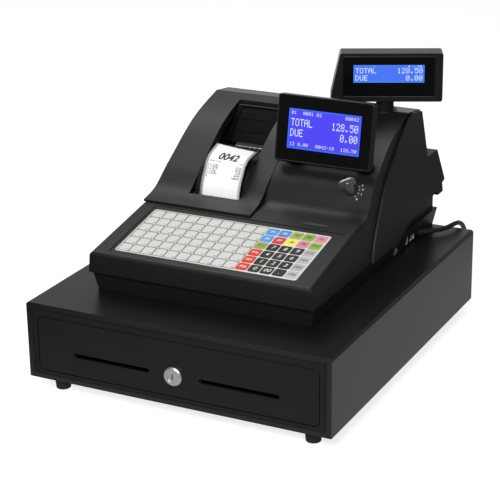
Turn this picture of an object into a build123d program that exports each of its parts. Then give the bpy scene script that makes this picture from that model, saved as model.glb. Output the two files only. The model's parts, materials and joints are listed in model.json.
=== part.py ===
"""Electronic cash register standing on a steel cash drawer.

Millimetres, +Z up, +X to the operator's right, +Y away from the operator.
Everything is laid out from the middle of the cabinet's footprint at desk level,
and save() moves it so that the origin lies under the middle of the whole machine.
"""
import os
from math import atan2, cos, pi, radians, sin, tan

from build123d import *

# ---------------------------------------------------------------- cabinet
cabinet_width = 410.0
cabinet_depth = 470.0
cabinet_height = 99.5
sheet = 1.2                     # steel sheet of cabinet, tray and rails
cabinet_bend = 4.0              # outer bend radius along the top edges
flange_width = 6.5              # folded rim round the cabinet's open front
rubber_foot_height = 19.0
foot_top_dia = 21.5
foot_bottom_dia = 18.5
foot_side_inset = 33.0
foot_end_inset = 23.0
floor_lip = 14.0                # upturned edge of the bottom pan
screw_head_dia = 7.0
screw_head_height = 1.8
screw_shank_dia = 3.0

# ---------------------------------------------------------------- drawer
frame_depth = 11.0              # front frame, front to back
frame_side = 8.0                # width of the frame's uprights
frame_top = 9.4
frame_bottom = 4.8
front_gap = 1.0                 # joint line round the drawer front
front_corner = 8.0
front_thickness = 3.0
drawer_travel = 350.0
tray_height = 58.0
tray_side_room = 15.0           # drawer front overhangs the tray by this
tray_back_room = 26.0
tray_floor_room = 2.5
slot_length = 106.0             # media slots in the drawer front
slot_height = 5.6
slot_offset = 86.5
slot_level = 39.3               # slot and lock height above the cabinet's underside
rail_height = 24.0
rail_depth = 11.0
rail_level = 22.0               # rail's lower edge above the cabinet's underside
rail_wall = 1.5
slide_clearance = 0.5

# ---------------------------------------------------------------- drawer lock and latch
lock_ring_dia = 24.0
lock_ring_height = 4.0
barrel_dia = 15.0
barrel_length = 20.0
barrel_sink = 0.6               # barrel's face behind the ring's face
running_clearance = 0.05        # radial, every pin and barrel that turns
keyway_width = 1.8
keyway_height = 8.0
cam_length = 20.0
cam_width = 9.0
cam_thickness = 2.5
solenoid_width = 34.0
solenoid_height = 40.0
solenoid_depth = 14.0
hook_pin_dia = 4.0
hook_hub_dia = 8.0
hook_half = 3.0                 # half the hook's width
hook_lift = 1.5                 # hook's arm above its pivot
hook_height = 3.5
tooth_depth = 3.0
tooth_clearance = 0.6           # released tooth above the strike
strike_width = 20.0
strike_reach = 12.0
strike_rise = 18.0              # strike plate above the tray's underside
strike_room = 1.5               # slot's clearance round the hook's tooth
bracket_left = -30.0
bracket_right = 50.0
bracket_foot = 12.0
bracket_rise = 14.0             # bracket's top above the hook's pivot
solenoid_x = 12.0
solenoid_lift = 4.0

# ---------------------------------------------------------------- till insert
insert_height = 44.0
insert_depth = 352.0
insert_wall = 2.0
insert_room = 2.0               # clearance to the tray's walls
coin_rows = 2
coin_columns = 4
coin_depth = 82.0
coin_cup_round = 20.0
bill_count = 4
clip_rod_dia = 4.0
clip_rod_inset = 14.0
clip_rod_drop = 7.0
clip_width = 26.0
clip_hub_dia = 9.0
clip_length = 50.0
clip_thickness = 1.8
clip_droop = 12.0               # degrees below level at rest

# ---------------------------------------------------------------- register casings
wall = 2.6
part_gap = 0.35                 # joint between casings on one body
move_gap = 0.5                  # joint between a moving cover and its neighbours
draft = 4.86                    # degrees, lean of the casing's sides
base_half_width = 146.0
keyboard_overhang = 7.0         # casing's sides outside the base at the seam
base_front = -160.7
base_back = 233.0
base_lean = 11.0                # degrees, outward lean of the base's front and sides
base_rear_start = 66.0          # where the base's rear block begins
base_rim = 5.0                  # height of the rim below the seam
box_top_room = 62.0             # reach of the rear block before the seam trims it
seam_height = 24.8              # top of the base above the cabinet
keyboard_half_width = base_half_width + keyboard_overhang
keyboard_front = -170.5
keyboard_front_height = 51.5
keyboard_slope = 10.8
keyboard_back_top = -16.5
keyboard_back_bottom = 0.0
keyboard_round = 5.0
overlay_width = 247.0
overlay_depth = 106.0
overlay_front = -156.5
overlay_thickness = 0.5
overlay_border = 9.5
overlay_shift = 4.5              # recess's middle, right of the overlay's
overlay_recess = 0.9
key_board_thickness = 1.6
key_board_inset = 4.0           # contact board inside the overlay's edge
grip_length = 40.0              # finger hollow beside the overlay
grip_width = 10.0
grip_depth = 0.8
grip_x = 92.0
grip_y = -34.0
cheek_step = 3.2                # how far the cheeks stand outside the inner sides
cheek_tuck = 4.0                # how far the cover's sides reach in behind the cheeks
hood_back = 191.0
hood_back_height = 173.5
shelf_front = 201.5
shelf_height = 106.3
shelf_back = 237.0
box_back = 257.0
box_bulge_height = 61.0
box_bottom_back = 249.0
box_bottom = 44.5
band_front = 131.0              # front edge of the fixed top band, right half
seam_x = 5.0                    # seam between printer cover and front panels
panel_front = -18.0
panel_split = 43.0              # parting between lower and upper front panels

# ---------------------------------------------------------------- printer
paper_width = 57.0
paper_thickness = 0.4
paper_middle = -53.8            # middle of the paper's width
window_left = -96.0
window_right = -24.0
window_front = -13.0
window_back = 135.0
window_skirt = 12.0             # depth of the short walls round the window
knuckle_radius = 5.0
pin_end_wall = 0.5              # skin left over the hinge pin's blind end
hinge_pin_dia = 3.0
lug_width = 5.0
lid_thickness = 2.4
lid_front = 88.0
lid_front_height = 129.0
lid_back = 130.0
lid_back_height = 167.7
lid_rib = 2.0
lid_ribs = 2
lid_rib_height = 0.7
lid_rib_width = 1.4
lid_edge = 5.0                  # width of the lid's raised edges
lid_lip = 6.0                   # depth of its turned-down front edge
lid_side_gap = 1.5
roll_dia = 62.0
roll_core_dia = 18.0
roll_core_wall = 2.0
roll_y = 108.0
roll_height = 96.0
bucket_wall = 2.0
bucket_room = 0.8               # clearance round the roll
frame_side_room = 3.0           # clearance beside the paper
frame_leg = 8.0
platen_dia = 11.0
platen_y = -4.6
platen_height = 72.0
axle_dia = 4.0
web_gap = 0.3                   # paper stands this far off roll, platen and head
head_depth = 4.5
head_height = 12.0
gear_module = 0.7               # pitch diameter over teeth
gear_teeth = 24                 # feed wheel on the platen
pinion_teeth = 10
gear_backlash = 0.15            # added to the distance between the axles
gear_width = 3.0
motor_dia = 20.0
motor_length = 14.0
motor_wall = 2.0
motor_gap = 1.5                 # between the motor's face and the pinion
rotor_room = 0.6
motor_foot_width = 12.0
motor_foot_thickness = 4.0
tear_thickness = 0.8
tear_depth = 9.0
tear_overhang = 0.9             # beyond each edge of the paper
tear_rise = 0.8                 # teeth above the cover's surface
tear_pitch = 1.9                # tooth spacing of the tear edge

# ---------------------------------------------------------------- mode switch
switch_x = 117.0
switch_y = 20.0
switch_ring_dia = 15.5
switch_ring_height = 2.0
switch_ring_lip = 1.2
switch_face_rise = 1.0          # barrel's face above the ring
switch_barrel_dia = 11.0
switch_barrel_length = 26.0
switch_turn = 32.0              # key's place at rest, degrees from +X towards the hood
key_bow_width = 21.0
key_bow_height = 17.0
key_thickness = 2.2
key_stem = 9.0
key_blade_reach = 8.0           # blade's depth in the barrel
key_bow_corner = 6.0
key_bow_sink = 2.0              # bow's overlap with its stem
key_hole_dia = 4.4
key_hole_inset = 7.0            # hole's centre below the bow's top

# ---------------------------------------------------------------- operator display
screen_width = 131.5
screen_height = 85.8
screen_thickness = 12.0
screen_x = 71.9
screen_y = 36.0
screen_centre_height = 175.8
screen_tilt = 10.8
screen_rim = 2.6
screen_corner = 4.0
screen_front_depth = 7.0        # part of the thickness that the front frame takes
screen_wall = 2.2
glass_thickness = 1.6
glass_sink = 0.5                # glass face behind the rim's face
glass_corner = 2.0
lcd_width = 99.0
lcd_height = 50.8
lcd_thickness = 3.0
pivot_y = 49.0
pivot_height = 140.5
pivot_pin_dia = 4.0
pivot_lug_dia = 11.0
pivot_lug_width = 14.0
pivot_span = 56.0               # hinge ears either side of the screen's middle
pivot_cap_dia = 9.0
pivot_cap_width = 2.5
ear_thickness = 5.0
ear_gap = 0.4
bracket_depth = 10.0
bracket_thickness = 3.0

# ---------------------------------------------------------------- customer display
pole_x = 104.0
pole_y = 158.0
pole_dia = 23.4
pole_bore_dia = 12.0
turret_yaw = 24.2
turret_offset = 4.2             # window's middle beside the pole's axis
turret_width = 138.6            # at half height
turret_lean = 12.9              # left side's foot outside its top
turret_height = 64.0
turret_bottom = 192.0           # underside above the cabinet's top
turret_top_depth = 28.0
turret_bottom_depth = 46.0
turret_front = 15.0             # front face ahead of the pole's axis
turret_window_width = 116.0
turret_window_height = 50.5
turret_window_rise = 1.0
turret_lcd_width = 91.0
turret_lcd_height = 23.2
turret_lcd_rise = 4.0
turret_front_depth = 3.0        # part of the depth that the front frame takes
turret_wall = 2.2
turret_corner = 3.0
pole_tenon = 8.0                # pole's reach into the head
socket_dia = 33.0
socket_depth = 30.0
socket_top = 178.5              # collar's top above the cabinet
pole_flange_dia = 30.0
pole_flange_height = 4.0

# ---------------------------------------------------------------- boards and screws
board_thickness = 1.6
post_height = 5.0
boss_dia = 8.0
case_screw_dia = 3.0
case_screw_head_dia = 6.0
case_screw_head_height = 2.2
case_screw_length = 18.0
case_screw_inset = 18.0         # screws inside the base's sides
case_screw_front = 32.7         # front pair behind the base's front
case_screw_left_back = 52.0
case_screw_right_back = 100.0
case_screw_sink = 1.0           # heads above the base's underside
main_board_width = 108.0
main_board_depth = 210.0
main_board_inset = 28.0         # board's right edge inside the base's side
main_board_start = 10.7         # board's front edge behind the base's front
board_post_dia = 6.0
board_post_inset = 4.0
chip_x = 34.0                   # first chip's centre from the board's left edge
chip_y = 104.0                  # and from its front edge
supply_x = 90.0
supply_y = 192.0
supply_width = 56.0
supply_depth = 48.0
supply_height = 40.0
winding_width = 40.0
winding_depth = 64.0
winding_height = 26.0
supply_foot_width = 72.0
supply_foot_depth = 32.0
supply_foot_thickness = 2.0

# ---------------------------------------------------------------- power cord
cord_dia = 6.4
relief_y = 180.0
relief_rise = 5.6               # cord axis above the cabinet's top at the relief
relief_root_dia = 10.5
relief_tip_dia = 8.2
relief_length = 24.0
relief_turn = 45.0              # degrees from +X towards +Y
coil_radius = 35.0              # middle of the coiled length's turns
coil_turns_across = 3
coil_x = 85.0
coil_y = 298.0
coil_stub = 8.0
plug_length = 32.0
plug_width = 26.0
plug_height = 17.2
plug_neck = 22.0
plug_corner = 6.0
plug_bevel = 3.0
blade_length = 17.5
blade_height = 6.4
blade_thickness = 1.5
blade_spacing = 12.7
blade_rise = 1.0                # blades above the plug's middle
earth_pin_dia = 4.8
earth_pin_drop = 6.0
earth_pin_length = 20.0

# chips on the main board: across and along from the first one, width, depth, height
chips = [
    (0.0, 0.0, 28.0, 28.0, 3.0),
    (46.0, -8.0, 20.0, 12.0, 3.0),
    (-7.0, 71.0, 14.0, 30.0, 8.0),
    (58.0, 74.0, 24.0, 16.0, 5.0),
]

# side sockets: y, width along Y, height, level above the cabinet's top
ports = [
    (97.0, 12.0, 9.0, 7.8),
    (136.0, 7.0, 13.0, 10.0),
    (154.0, 17.0, 8.5, 8.0),
]
port_clearance = 0.4
port_wall = 0.8
port_reach = 8.0                # shell's depth behind the wall
port_depth = 6.0
port_proud = 1.0                # shell's face outside the wall

deck = rubber_foot_height + cabinet_height      # cabinet's top
under = rubber_foot_height                      # cabinet's underside

# Upper outline of the raised hood: y, height above the cabinet, slope in degrees.
hood_line = [
    (-39.5, 79.6, 12.0),
    (-12.0, 87.5, 22.0),
    (12.0, 105.5, 38.0),
    (30.0, 118.6, 36.0),
    (52.0, 134.5, 33.0),
    (104.0, 164.0, 25.0),
    (146.0, 177.6, 8.0),
    (hood_back, hood_back_height, -7.0),
]
# The lower front panel starts lower and sweeps up into the same curve.
panel_line = [
    (keyboard_back_top + part_gap, 80.9, 11.0),
    (0.0, 86.6, 32.0),
    (14.0, 103.6, 48.0),
] + hood_line[3:6]
# Front edge of the cheeks, set back from the hood.
cheek_line = [
    (keyboard_back_bottom + 1.0, seam_height, 74.0),
    (30.0, 76.0, 52.0),
    (64.0, 115.5, 41.0),
    (104.0, 145.0, 35.0),
    (136.0, 168.0, 30.0),
    (152.0, 175.2, 6.0),
    (hood_back, 171.5, -7.0),
]
# Seam between upper case and base, behind the keyboard.
seam_line = [
    (66.0, seam_height, 0.0),
    (95.0, 31.5, 24.0),
    (120.0, 42.0, 18.0),
    (155.0, 48.0, 8.0),
    (box_back + 5.0, 59.0, 6.0),
]
far = 400.0                     # reach of a cutting block beyond the machine


# ---------------------------------------------------------------- helpers
def box(x0, x1, y0, y1, z0, z1):
    """Block between two corners."""
    block = Box(x1 - x0, y1 - y0, z1 - z0, align=(Align.MIN, Align.MIN, Align.MIN))
    return block.moved(Location((x0, y0, z0)))


def rod(axis, centre, radius, start, end):
    """Round bar along 'x', 'y' or 'z' from start to end; centre is the other two."""
    bar = Cylinder(radius, end - start, align=(Align.CENTER, Align.CENTER, Align.MIN))
    if axis == "x":
        return bar.moved(Location((start, centre[0], centre[1]), (0, 90, 0)))
    if axis == "y":
        return bar.moved(Location((centre[0], start, centre[1]), (-90, 0, 0)))
    return bar.moved(Location((centre[0], centre[1], start)))


def prism_x(outline, x0, x1):
    """Outline of (y, z) points or edges, extruded along X."""
    if isinstance(outline[0], tuple):
        outline = [Polyline(*outline, close=True)]
    face = Plane.YZ * make_face(outline)
    return extrude(face, amount=x1 - x0).moved(Location((x0, 0, 0)))


def side(height):
    """Half-width of the casing's inner sides at a height above the cabinet."""
    return keyboard_half_width - (height - seam_height) * tan(radians(draft))


def lean_block(offset):
    """Everything between the casing's leaning sides, widened by offset."""
    low = -20.0
    high = 260.0
    corners = [
        (-side(low) - offset, deck + low),
        (side(low) + offset, deck + low),
        (side(high) + offset, deck + high),
        (-side(high) - offset, deck + high),
    ]
    face = Plane.XZ * make_face(Polyline(*corners, close=True))
    return extrude(face, amount=far, both=True)


def inset_points(line, inset):
    """Points of a sloped line moved inward, square to it."""
    return [
        (y + inset * sin(radians(a)), deck + h - inset * cos(radians(a)))
        for y, h, a in line
    ]


def under_line(line, inset, floor=-60.0):
    """Closed (y, z) outline below a curved line, down to floor."""
    points = inset_points(line, inset)
    first = line[0][2]
    last = line[-1][2]
    tangents = [
        (cos(radians(first)), sin(radians(first))),
        (cos(radians(last)), sin(radians(last))),
    ]
    top = Spline(*points, tangents=tangents)
    low_back = (points[-1][0], deck + floor)
    low_front = (points[0][0], deck + floor)
    return [top, Polyline(points[-1], low_back, low_front, points[0])]


def surface_at(line, y):
    """Height above the cabinet and slope in radians of a curved outline at a depth y."""
    points = [(py, ph) for py, ph, slope in line]
    first = line[0][2]
    last = line[-1][2]
    tangents = [
        (cos(radians(first)), sin(radians(first))),
        (cos(radians(last)), sin(radians(last))),
    ]
    curve = Spline(*points, tangents=tangents)
    low = 0.0
    high = 1.0
    while high - low > 1e-5:
        middle = (low + high) / 2
        if (curve @ middle).X < y:
            low = middle
        else:
            high = middle
    along = curve % low
    return (curve @ low).Y, atan2(along.Y, along.X)


def keyboard_deck(y):
    """Height of the keyboard's sloping top above the cabinet."""
    return keyboard_front_height + (y - keyboard_front) * tan(radians(keyboard_slope))


def keyboard_outline(grow):
    """Side outline of the keyboard housing, grown by a clearance."""
    top_back = keyboard_deck(keyboard_back_top)
    return [
        (keyboard_front - grow, deck + seam_height),
        (keyboard_front - grow, deck + keyboard_front_height + grow),
        (keyboard_back_top + grow, deck + top_back + grow),
        (keyboard_back_bottom + grow, deck + seam_height),
    ]


def below_seam():
    """Everything under the seam between upper case and base."""
    points = inset_points(seam_line, 0.0)
    curve = Spline(*points, tangents=[(1, 0), (cos(radians(6)), sin(radians(6)))])
    tail = (far, points[-1][1])
    rest = Polyline(points[-1], tail, (far, -far), (-far, -far), (-far, points[0][1]), points[0])
    return prism_x([curve, rest], -far, far)


def mirrored(shape):
    """The same shape on the other side of the machine's middle plane."""
    return mirror(shape, about=Plane.YZ)


def group(*shapes):
    """Separate solids kept together in one node."""
    solids = []
    for shape in shapes:
        solids.extend(shape.solids())
    return Compound(children=solids)


def edges_along(shape, axis):
    """Edges parallel to an axis."""
    return shape.edges().filter_by(axis)


def edges_near(edges, y=None, z=None, x=None, reach=0.6):
    """Edges whose middle lies near the given coordinates."""
    wanted = []
    for edge in edges:
        middle = edge.center()
        if y is not None and abs(middle.Y - y) > reach:
            continue
        if z is not None and abs(middle.Z - z) > reach:
            continue
        if x is not None and abs(middle.X - x) > reach:
            continue
        wanted.append(edge)
    return wanted


# The origin lies under the middle of the whole machine, lock to rear box.
front_reach = cabinet_depth / 2 + lock_ring_height
frame_shift = Location((0, (front_reach - box_back) / 2, 0))


def save(name, shape):
    """Write one sub-part in the machine's own frame."""
    export_step(shape.moved(frame_shift), "parts/" + name + ".step")


os.makedirs("parts", exist_ok=True)

# ================================================================ cabinet
half_width = cabinet_width / 2
half_depth = cabinet_depth / 2
cabinet_front = -half_depth
opening_half = half_width - flange_width - frame_side
opening_top = deck - flange_width - frame_top
opening_bottom = under + flange_width + frame_bottom


def cabinet_shell():
    """Folded cover: top, two sides, back wall and a rim round the open front."""
    outer = box(-half_width, half_width, cabinet_front, half_depth, under, deck)
    outer = fillet(edges_near(edges_along(outer, Axis.Y), z=deck), cabinet_bend)
    inner = box(
        -half_width + sheet, half_width - sheet,
        cabinet_front + sheet, half_depth - sheet, under - 1, deck - sheet,
    )
    inner = fillet(edges_near(edges_along(inner, Axis.Y), z=deck - sheet), cabinet_bend - sheet)
    mouth = box(
        -half_width + flange_width, half_width - flange_width,
        cabinet_front - 1, cabinet_front + sheet + 1,
        under + flange_width, deck - flange_width,
    )
    return outer - inner - mouth


def cabinet_floor():
    """Bottom pan with two upturned edges inside the cover's sides."""
    reach = half_width - sheet - part_gap
    front = cabinet_front + sheet + part_gap
    back = half_depth - sheet - part_gap
    pan = box(-reach, reach, front, back, under, under + sheet)
    for sign in (-1, 1):
        edge = sign * reach
        inner = sign * (reach - sheet)
        pan += box(
            min(edge, inner), max(edge, inner), front + frame_depth, back,
            under, under + floor_lip,
        )
    return pan


def front_frame():
    """Moulded ring that the drawer front closes into."""
    reach = half_width - flange_width - part_gap
    top = deck - flange_width - part_gap
    bottom = under + flange_width + part_gap
    back = cabinet_front + frame_depth
    ring = box(-reach, reach, cabinet_front, back, bottom, top)
    # a shoulder behind the cabinet's rim holds the ring in place
    ring += box(
        -reach - flange_width / 2, reach + flange_width / 2,
        cabinet_front + sheet + part_gap, back, under + sheet + part_gap, top + flange_width / 2,
    )
    hole = box(-opening_half, opening_half, cabinet_front - 1, back + 1, opening_bottom, opening_top)
    hole = fillet(edges_along(hole, Axis.Y), front_corner)
    return ring - hole


def foot_places():
    """Centres of the four feet."""
    x = half_width - foot_side_inset
    y = half_depth - foot_end_inset
    return [(sx * x, sy * y) for sx in (-1, 1) for sy in (-1, 1)]


def rubber_feet():
    """Four tapered feet with a recess for their screws."""
    feet = []
    for x, y in foot_places():
        foot = Cone(
            foot_bottom_dia / 2, foot_top_dia / 2, rubber_foot_height,
            align=(Align.CENTER, Align.CENTER, Align.MIN),
        ).moved(Location((x, y, 0)))
        foot = fillet(foot.edges().sort_by(Axis.Z)[0], 1.5)
        recess = rod("z", (x, y), screw_head_dia / 2 + 0.5, -1, rubber_foot_height / 2)
        hole = rod("z", (x, y), screw_shank_dia / 2, 0, rubber_foot_height + 1)
        feet.append(foot - recess - hole)
    return group(*feet)


def foot_screws():
    """Screws up through the feet, heads in their recesses."""
    screws = []
    head_top = rubber_foot_height / 2
    for x, y in foot_places():
        head = rod("z", (x, y), screw_head_dia / 2, head_top - screw_head_height, head_top)
        shank = rod("z", (x, y), screw_shank_dia / 2, head_top, rubber_foot_height)
        screws.append(head + shank)
    return group(*screws)


# ---------------------------------------------------------------- drawer sizes
tray_half = opening_half - front_gap - tray_side_room
tray_front = cabinet_front + front_thickness
tray_back = half_depth - tray_back_room
tray_bottom = opening_bottom + front_gap + tray_floor_room
tray_top = tray_bottom + tray_height
rail_bottom = under + rail_level
rail_top = rail_bottom + rail_height
rail_front = cabinet_front + frame_depth + 4
rail_back = half_depth - sheet - 6
rail_outer = tray_half + rail_depth + slide_clearance + rail_wall


def cabinet_rail():
    """Right-hand channel on a leg, open towards the drawer."""
    inner = tray_half + slide_clearance
    channel = box(inner, rail_outer, rail_front, rail_back, rail_bottom, rail_top)
    hollow = box(
        inner - 1, rail_outer - rail_wall, rail_front - 1, rail_back + 1,
        rail_bottom + rail_wall, rail_top - rail_wall,
    )
    foot_level = under + sheet
    leg_inner = rail_outer - rail_wall
    leg = box(leg_inner, rail_outer, rail_front, rail_back, foot_level, rail_bottom + rail_wall)
    foot_edge = half_width - 2 * sheet - 2 * part_gap
    foot = box(leg_inner, foot_edge, rail_front, rail_back, foot_level, foot_level + rail_wall)
    return channel - hollow + leg + foot


def drawer_runner():
    """Right-hand runner channel on the tray's side."""
    inner = tray_half
    outer = rail_outer - rail_wall - slide_clearance
    low = rail_bottom + rail_wall + slide_clearance
    high = rail_top - rail_wall - slide_clearance
    bar = box(inner, outer, tray_front + 40, tray_back - 4, low, high)
    groove = box(
        inner + rail_wall, outer + 1, tray_front + 39, tray_back - 3,
        low + rail_wall, high - rail_wall,
    )
    return bar - groove


def drawer_tray():
    """Open steel box with the media slots in front and a strike for the latch at the back."""
    outer = box(-tray_half, tray_half, tray_front, tray_back, tray_bottom, tray_top)
    inner = box(
        -tray_half + sheet, tray_half - sheet, tray_front + sheet, tray_back - sheet,
        tray_bottom + sheet, tray_top + 1,
    )
    tray = outer - inner
    # strike plate with a slot that the latch hook drops into
    strike = box(
        -strike_width / 2, strike_width / 2, tray_back, tray_back + strike_reach,
        strike_level, strike_top,
    )
    slot_half = hook_half + strike_room
    strike -= box(
        -slot_half, slot_half, tooth_front - strike_room, tooth_front + tooth_depth + strike_room,
        strike_level - 1, strike_top + 1,
    )
    tray += strike
    for sign in (-1, 1):
        slot = extrude(slot_face(sign * slot_offset, slot_height + 2), amount=2 * front_thickness, both=True)
        tray -= slot.moved(Location((0, tray_front, 0)))
    hole = barrel_dia / 2 + part_gap
    barrel = rod("y", (0, under + slot_level), hole, tray_front - 1, tray_front + sheet + 1)
    return tray - barrel


def slot_face(x, height):
    """Rounded media slot, upright across the drawer's front."""
    long_slot = SlotOverall(slot_length, height)
    return Plane.XZ * Location((x, under + slot_level)) * long_slot


def drawer_front():
    """Moulded front plate with two media slots and the lock's hole."""
    half = opening_half - front_gap
    low = opening_bottom + front_gap
    high = opening_top - front_gap
    plate = box(-half, half, cabinet_front, tray_front, low, high)
    plate = fillet(edges_along(plate, Axis.Y), front_corner - front_gap)
    plate = chamfer(plate.faces().sort_by(Axis.Y)[0].edges(), 0.5)
    for sign in (-1, 1):
        slot = extrude(slot_face(sign * slot_offset, slot_height), amount=2 * front_thickness, both=True)
        plate -= slot.moved(Location((0, cabinet_front, 0)))
    radius = barrel_dia / 2 + part_gap
    hole = rod("y", (0, under + slot_level), radius, cabinet_front - 1, tray_front + 1)
    return plate - hole


# ---------------------------------------------------------------- lock
lock_level = under + slot_level
lock_face = cabinet_front - lock_ring_height + barrel_sink


def lock_ring():
    """Nickel ring round the barrel."""
    face = cabinet_front - lock_ring_height
    ring = rod("y", (0, lock_level), lock_ring_dia / 2, face, cabinet_front)
    ring = chamfer(ring.edges().sort_by(Axis.Y)[0], 1.4)
    bore = barrel_dia / 2 + running_clearance
    return ring - rod("y", (0, lock_level), bore, face - 1, cabinet_front + 1)


def lock_barrel():
    """Turning barrel with its keyway."""
    barrel = rod("y", (0, lock_level), barrel_dia / 2, lock_face, lock_face + barrel_length)
    keyway = box(
        -keyway_width / 2, keyway_width / 2, lock_face - 1, lock_face + 6,
        lock_level - keyway_height / 2, lock_level + keyway_height / 2,
    )
    return barrel - keyway


def lock_cam():
    """Cam on the barrel's rear end."""
    start = lock_face + barrel_length
    boss = rod("y", (0, lock_level), cam_width / 2, start, start + cam_thickness)
    arm = box(
        -cam_width / 2, cam_width / 2, start, start + cam_thickness,
        lock_level - cam_length, lock_level,
    )
    return boss + arm


# ---------------------------------------------------------------- latch
latch_back = half_depth - sheet - part_gap
strike_level = tray_bottom + strike_rise
strike_top = strike_level + 2 * sheet
hook_y = tray_back + strike_reach + hook_hub_dia / 2 + 1.5
hook_level = strike_top + 1.5
tooth_front = tray_back + 4.5


def latch_bracket():
    """Folded bracket with the solenoid and the hook's pivot pin."""
    low = under + sheet
    plate = box(bracket_left, bracket_right, latch_back - bracket_foot, latch_back, low, low + sheet)
    face = latch_back - sheet
    back = box(bracket_left, bracket_right, face, latch_back, low, hook_level + bracket_rise)
    coil_low = low + solenoid_lift
    coil = box(
        solenoid_x, solenoid_x + solenoid_width, face - solenoid_depth, face,
        coil_low, coil_low + solenoid_height,
    )
    ear_left = -hook_half - part_gap - 2 * sheet
    ear_half = hook_hub_dia / 2 + 1
    ear = box(
        ear_left, -hook_half - part_gap, hook_y - ear_half, latch_back,
        hook_level - ear_half, hook_level + ear_half,
    )
    pin = rod("x", (hook_y, hook_level), hook_pin_dia / 2, ear_left, hook_half + 1)
    return plate + back + coil + ear + pin


def latch_hook():
    """Hook above the strike, shown released."""
    hub = rod("x", (hook_y, hook_level), hook_hub_dia / 2, -hook_half, hook_half)
    low = hook_level + hook_lift
    high = low + hook_height
    arm = box(-hook_half, hook_half, tooth_front, hook_y, low, high)
    neck = hook_hub_dia / 4
    arm += box(-hook_half, hook_half, hook_y - neck, hook_y + neck, hook_level, high)
    tooth_low = strike_top + tooth_clearance
    tooth = box(-hook_half, hook_half, tooth_front, tooth_front + tooth_depth, tooth_low, high)
    bore = hook_pin_dia / 2 + running_clearance
    hole = rod("x", (hook_y, hook_level), bore, -hook_half - 1, hook_half + 1)
    return hub + arm + tooth - hole


# ---------------------------------------------------------------- till insert
insert_half = tray_half - sheet - insert_room
insert_front = lock_face + barrel_length + cam_thickness + insert_room
insert_back = insert_front + insert_depth
insert_bottom = tray_bottom + sheet + part_gap
insert_top = insert_bottom + insert_height
rod_y_place = insert_back - insert_wall - clip_rod_inset
rod_level = insert_top - clip_rod_drop
bill_front = insert_front + insert_wall + coin_rows * (coin_depth + insert_wall)


def cell_span(index, count):
    """Left and right of one of count equal compartments."""
    room = 2 * insert_half - (count + 1) * insert_wall
    width = room / count
    left = -insert_half + insert_wall + index * (width + insert_wall)
    return left, left + width


def till_insert():
    """Moulded tray: rounded coin cups in front, long note bays behind."""
    tray = box(-insert_half, insert_half, insert_front, insert_back, insert_bottom, insert_top)
    for column in range(coin_columns):
        left, right = cell_span(column, coin_columns)
        for row in range(coin_rows):
            front = insert_front + insert_wall + row * (coin_depth + insert_wall)
            cup = box(left, right, front, front + coin_depth, insert_bottom + insert_wall, insert_top + 1)
            cup = fillet(edges_near(edges_along(cup, Axis.X), z=insert_bottom + insert_wall), coin_cup_round)
            tray -= cup
    for bay in range(bill_count):
        left, right = cell_span(bay, bill_count)
        back = insert_back - insert_wall
        tray -= box(left, right, bill_front, back, insert_bottom + insert_wall, insert_top + 1)
    end = insert_half + 1
    return tray - rod("x", (rod_y_place, rod_level), clip_rod_dia / 2 + running_clearance, -end, end)


def clip_rod():
    """Steel rod through the insert's walls, carrying the note clips."""
    return rod("x", (rod_y_place, rod_level), clip_rod_dia / 2, -insert_half, insert_half)


def bill_clip(bay):
    """Sprung clip that holds down the notes in one bay."""
    left, right = cell_span(bay, bill_count)
    middle = (left + right) / 2
    x0 = middle - clip_width / 2
    x1 = middle + clip_width / 2
    hub = Cylinder(clip_hub_dia / 2, clip_width).rotate(Axis.Y, 90)
    arm = box(
        -clip_width / 2, clip_width / 2, -clip_length, 0,
        clip_hub_dia / 2 - clip_thickness, clip_hub_dia / 2,
    )
    toe = box(
        -clip_width / 2, clip_width / 2, -clip_length, -clip_length + clip_thickness,
        0, clip_hub_dia / 2,
    )
    clip = (hub + arm + toe).rotate(Axis.X, clip_droop)
    clip = clip.moved(Location((middle, rod_y_place, rod_level)))
    bore = clip_rod_dia / 2 + running_clearance
    return clip - rod("x", (rod_y_place, rod_level), bore, x0 - 1, x1 + 1)


# ================================================================ register casings
def base_case():
    """Lower case: leaning plinth, rear block under the seam and its rim."""
    middle = (base_front + base_back) / 2
    foot = Rectangle(2 * base_half_width, base_back - base_front)
    low = Plane.XY.offset(deck) * Location((0, middle)) * foot
    outer = extrude(low, amount=seam_height - part_gap, taper=-base_lean)
    rear = box(-base_half_width, base_half_width, base_rear_start, base_back, deck, deck + box_top_room)
    outer += rear & below_seam().moved(Location((0, 0, -part_gap)))
    rim_low = deck + seam_height - base_rim
    rim = box(-far, far, base_rear_start, box_bottom_back, rim_low, deck + box_top_room)
    rim &= below_seam().moved(Location((0, 0, -part_gap)))
    rim -= below_seam().moved(Location((0, 0, -base_rim)))
    rim &= lean_block(cheek_step - part_gap)
    tail = box(-far, far, base_back - wall, box_bottom_back, deck + box_bottom, deck + box_top_room)
    tail &= below_seam().moved(Location((0, 0, -part_gap)))
    tail &= lean_block(cheek_step - part_gap)
    outer += rim + tail
    # hollow, open at the top
    room = Rectangle(2 * (base_half_width - wall), base_back - base_front - 2 * wall)
    floor = Plane.XY.offset(deck + wall) * Location((0, middle)) * room
    hollow = extrude(floor, amount=box_top_room + 40)
    case = outer - hollow
    for boss in case_bosses():
        case += boss
    return case - port_openings() - screw_holes() - relief_room()


def port_openings():
    """Holes in the right wall for the sockets."""
    cuts = None
    for y, width, height, level in ports:
        cut = box(
            base_half_width - wall - 1, base_half_width + 12,
            y - width / 2 - port_clearance, y + width / 2 + port_clearance,
            deck + level - height / 2 - port_clearance, deck + level + height / 2 + port_clearance,
        )
        cuts = cut if cuts is None else cuts + cut
    return cuts


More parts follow.
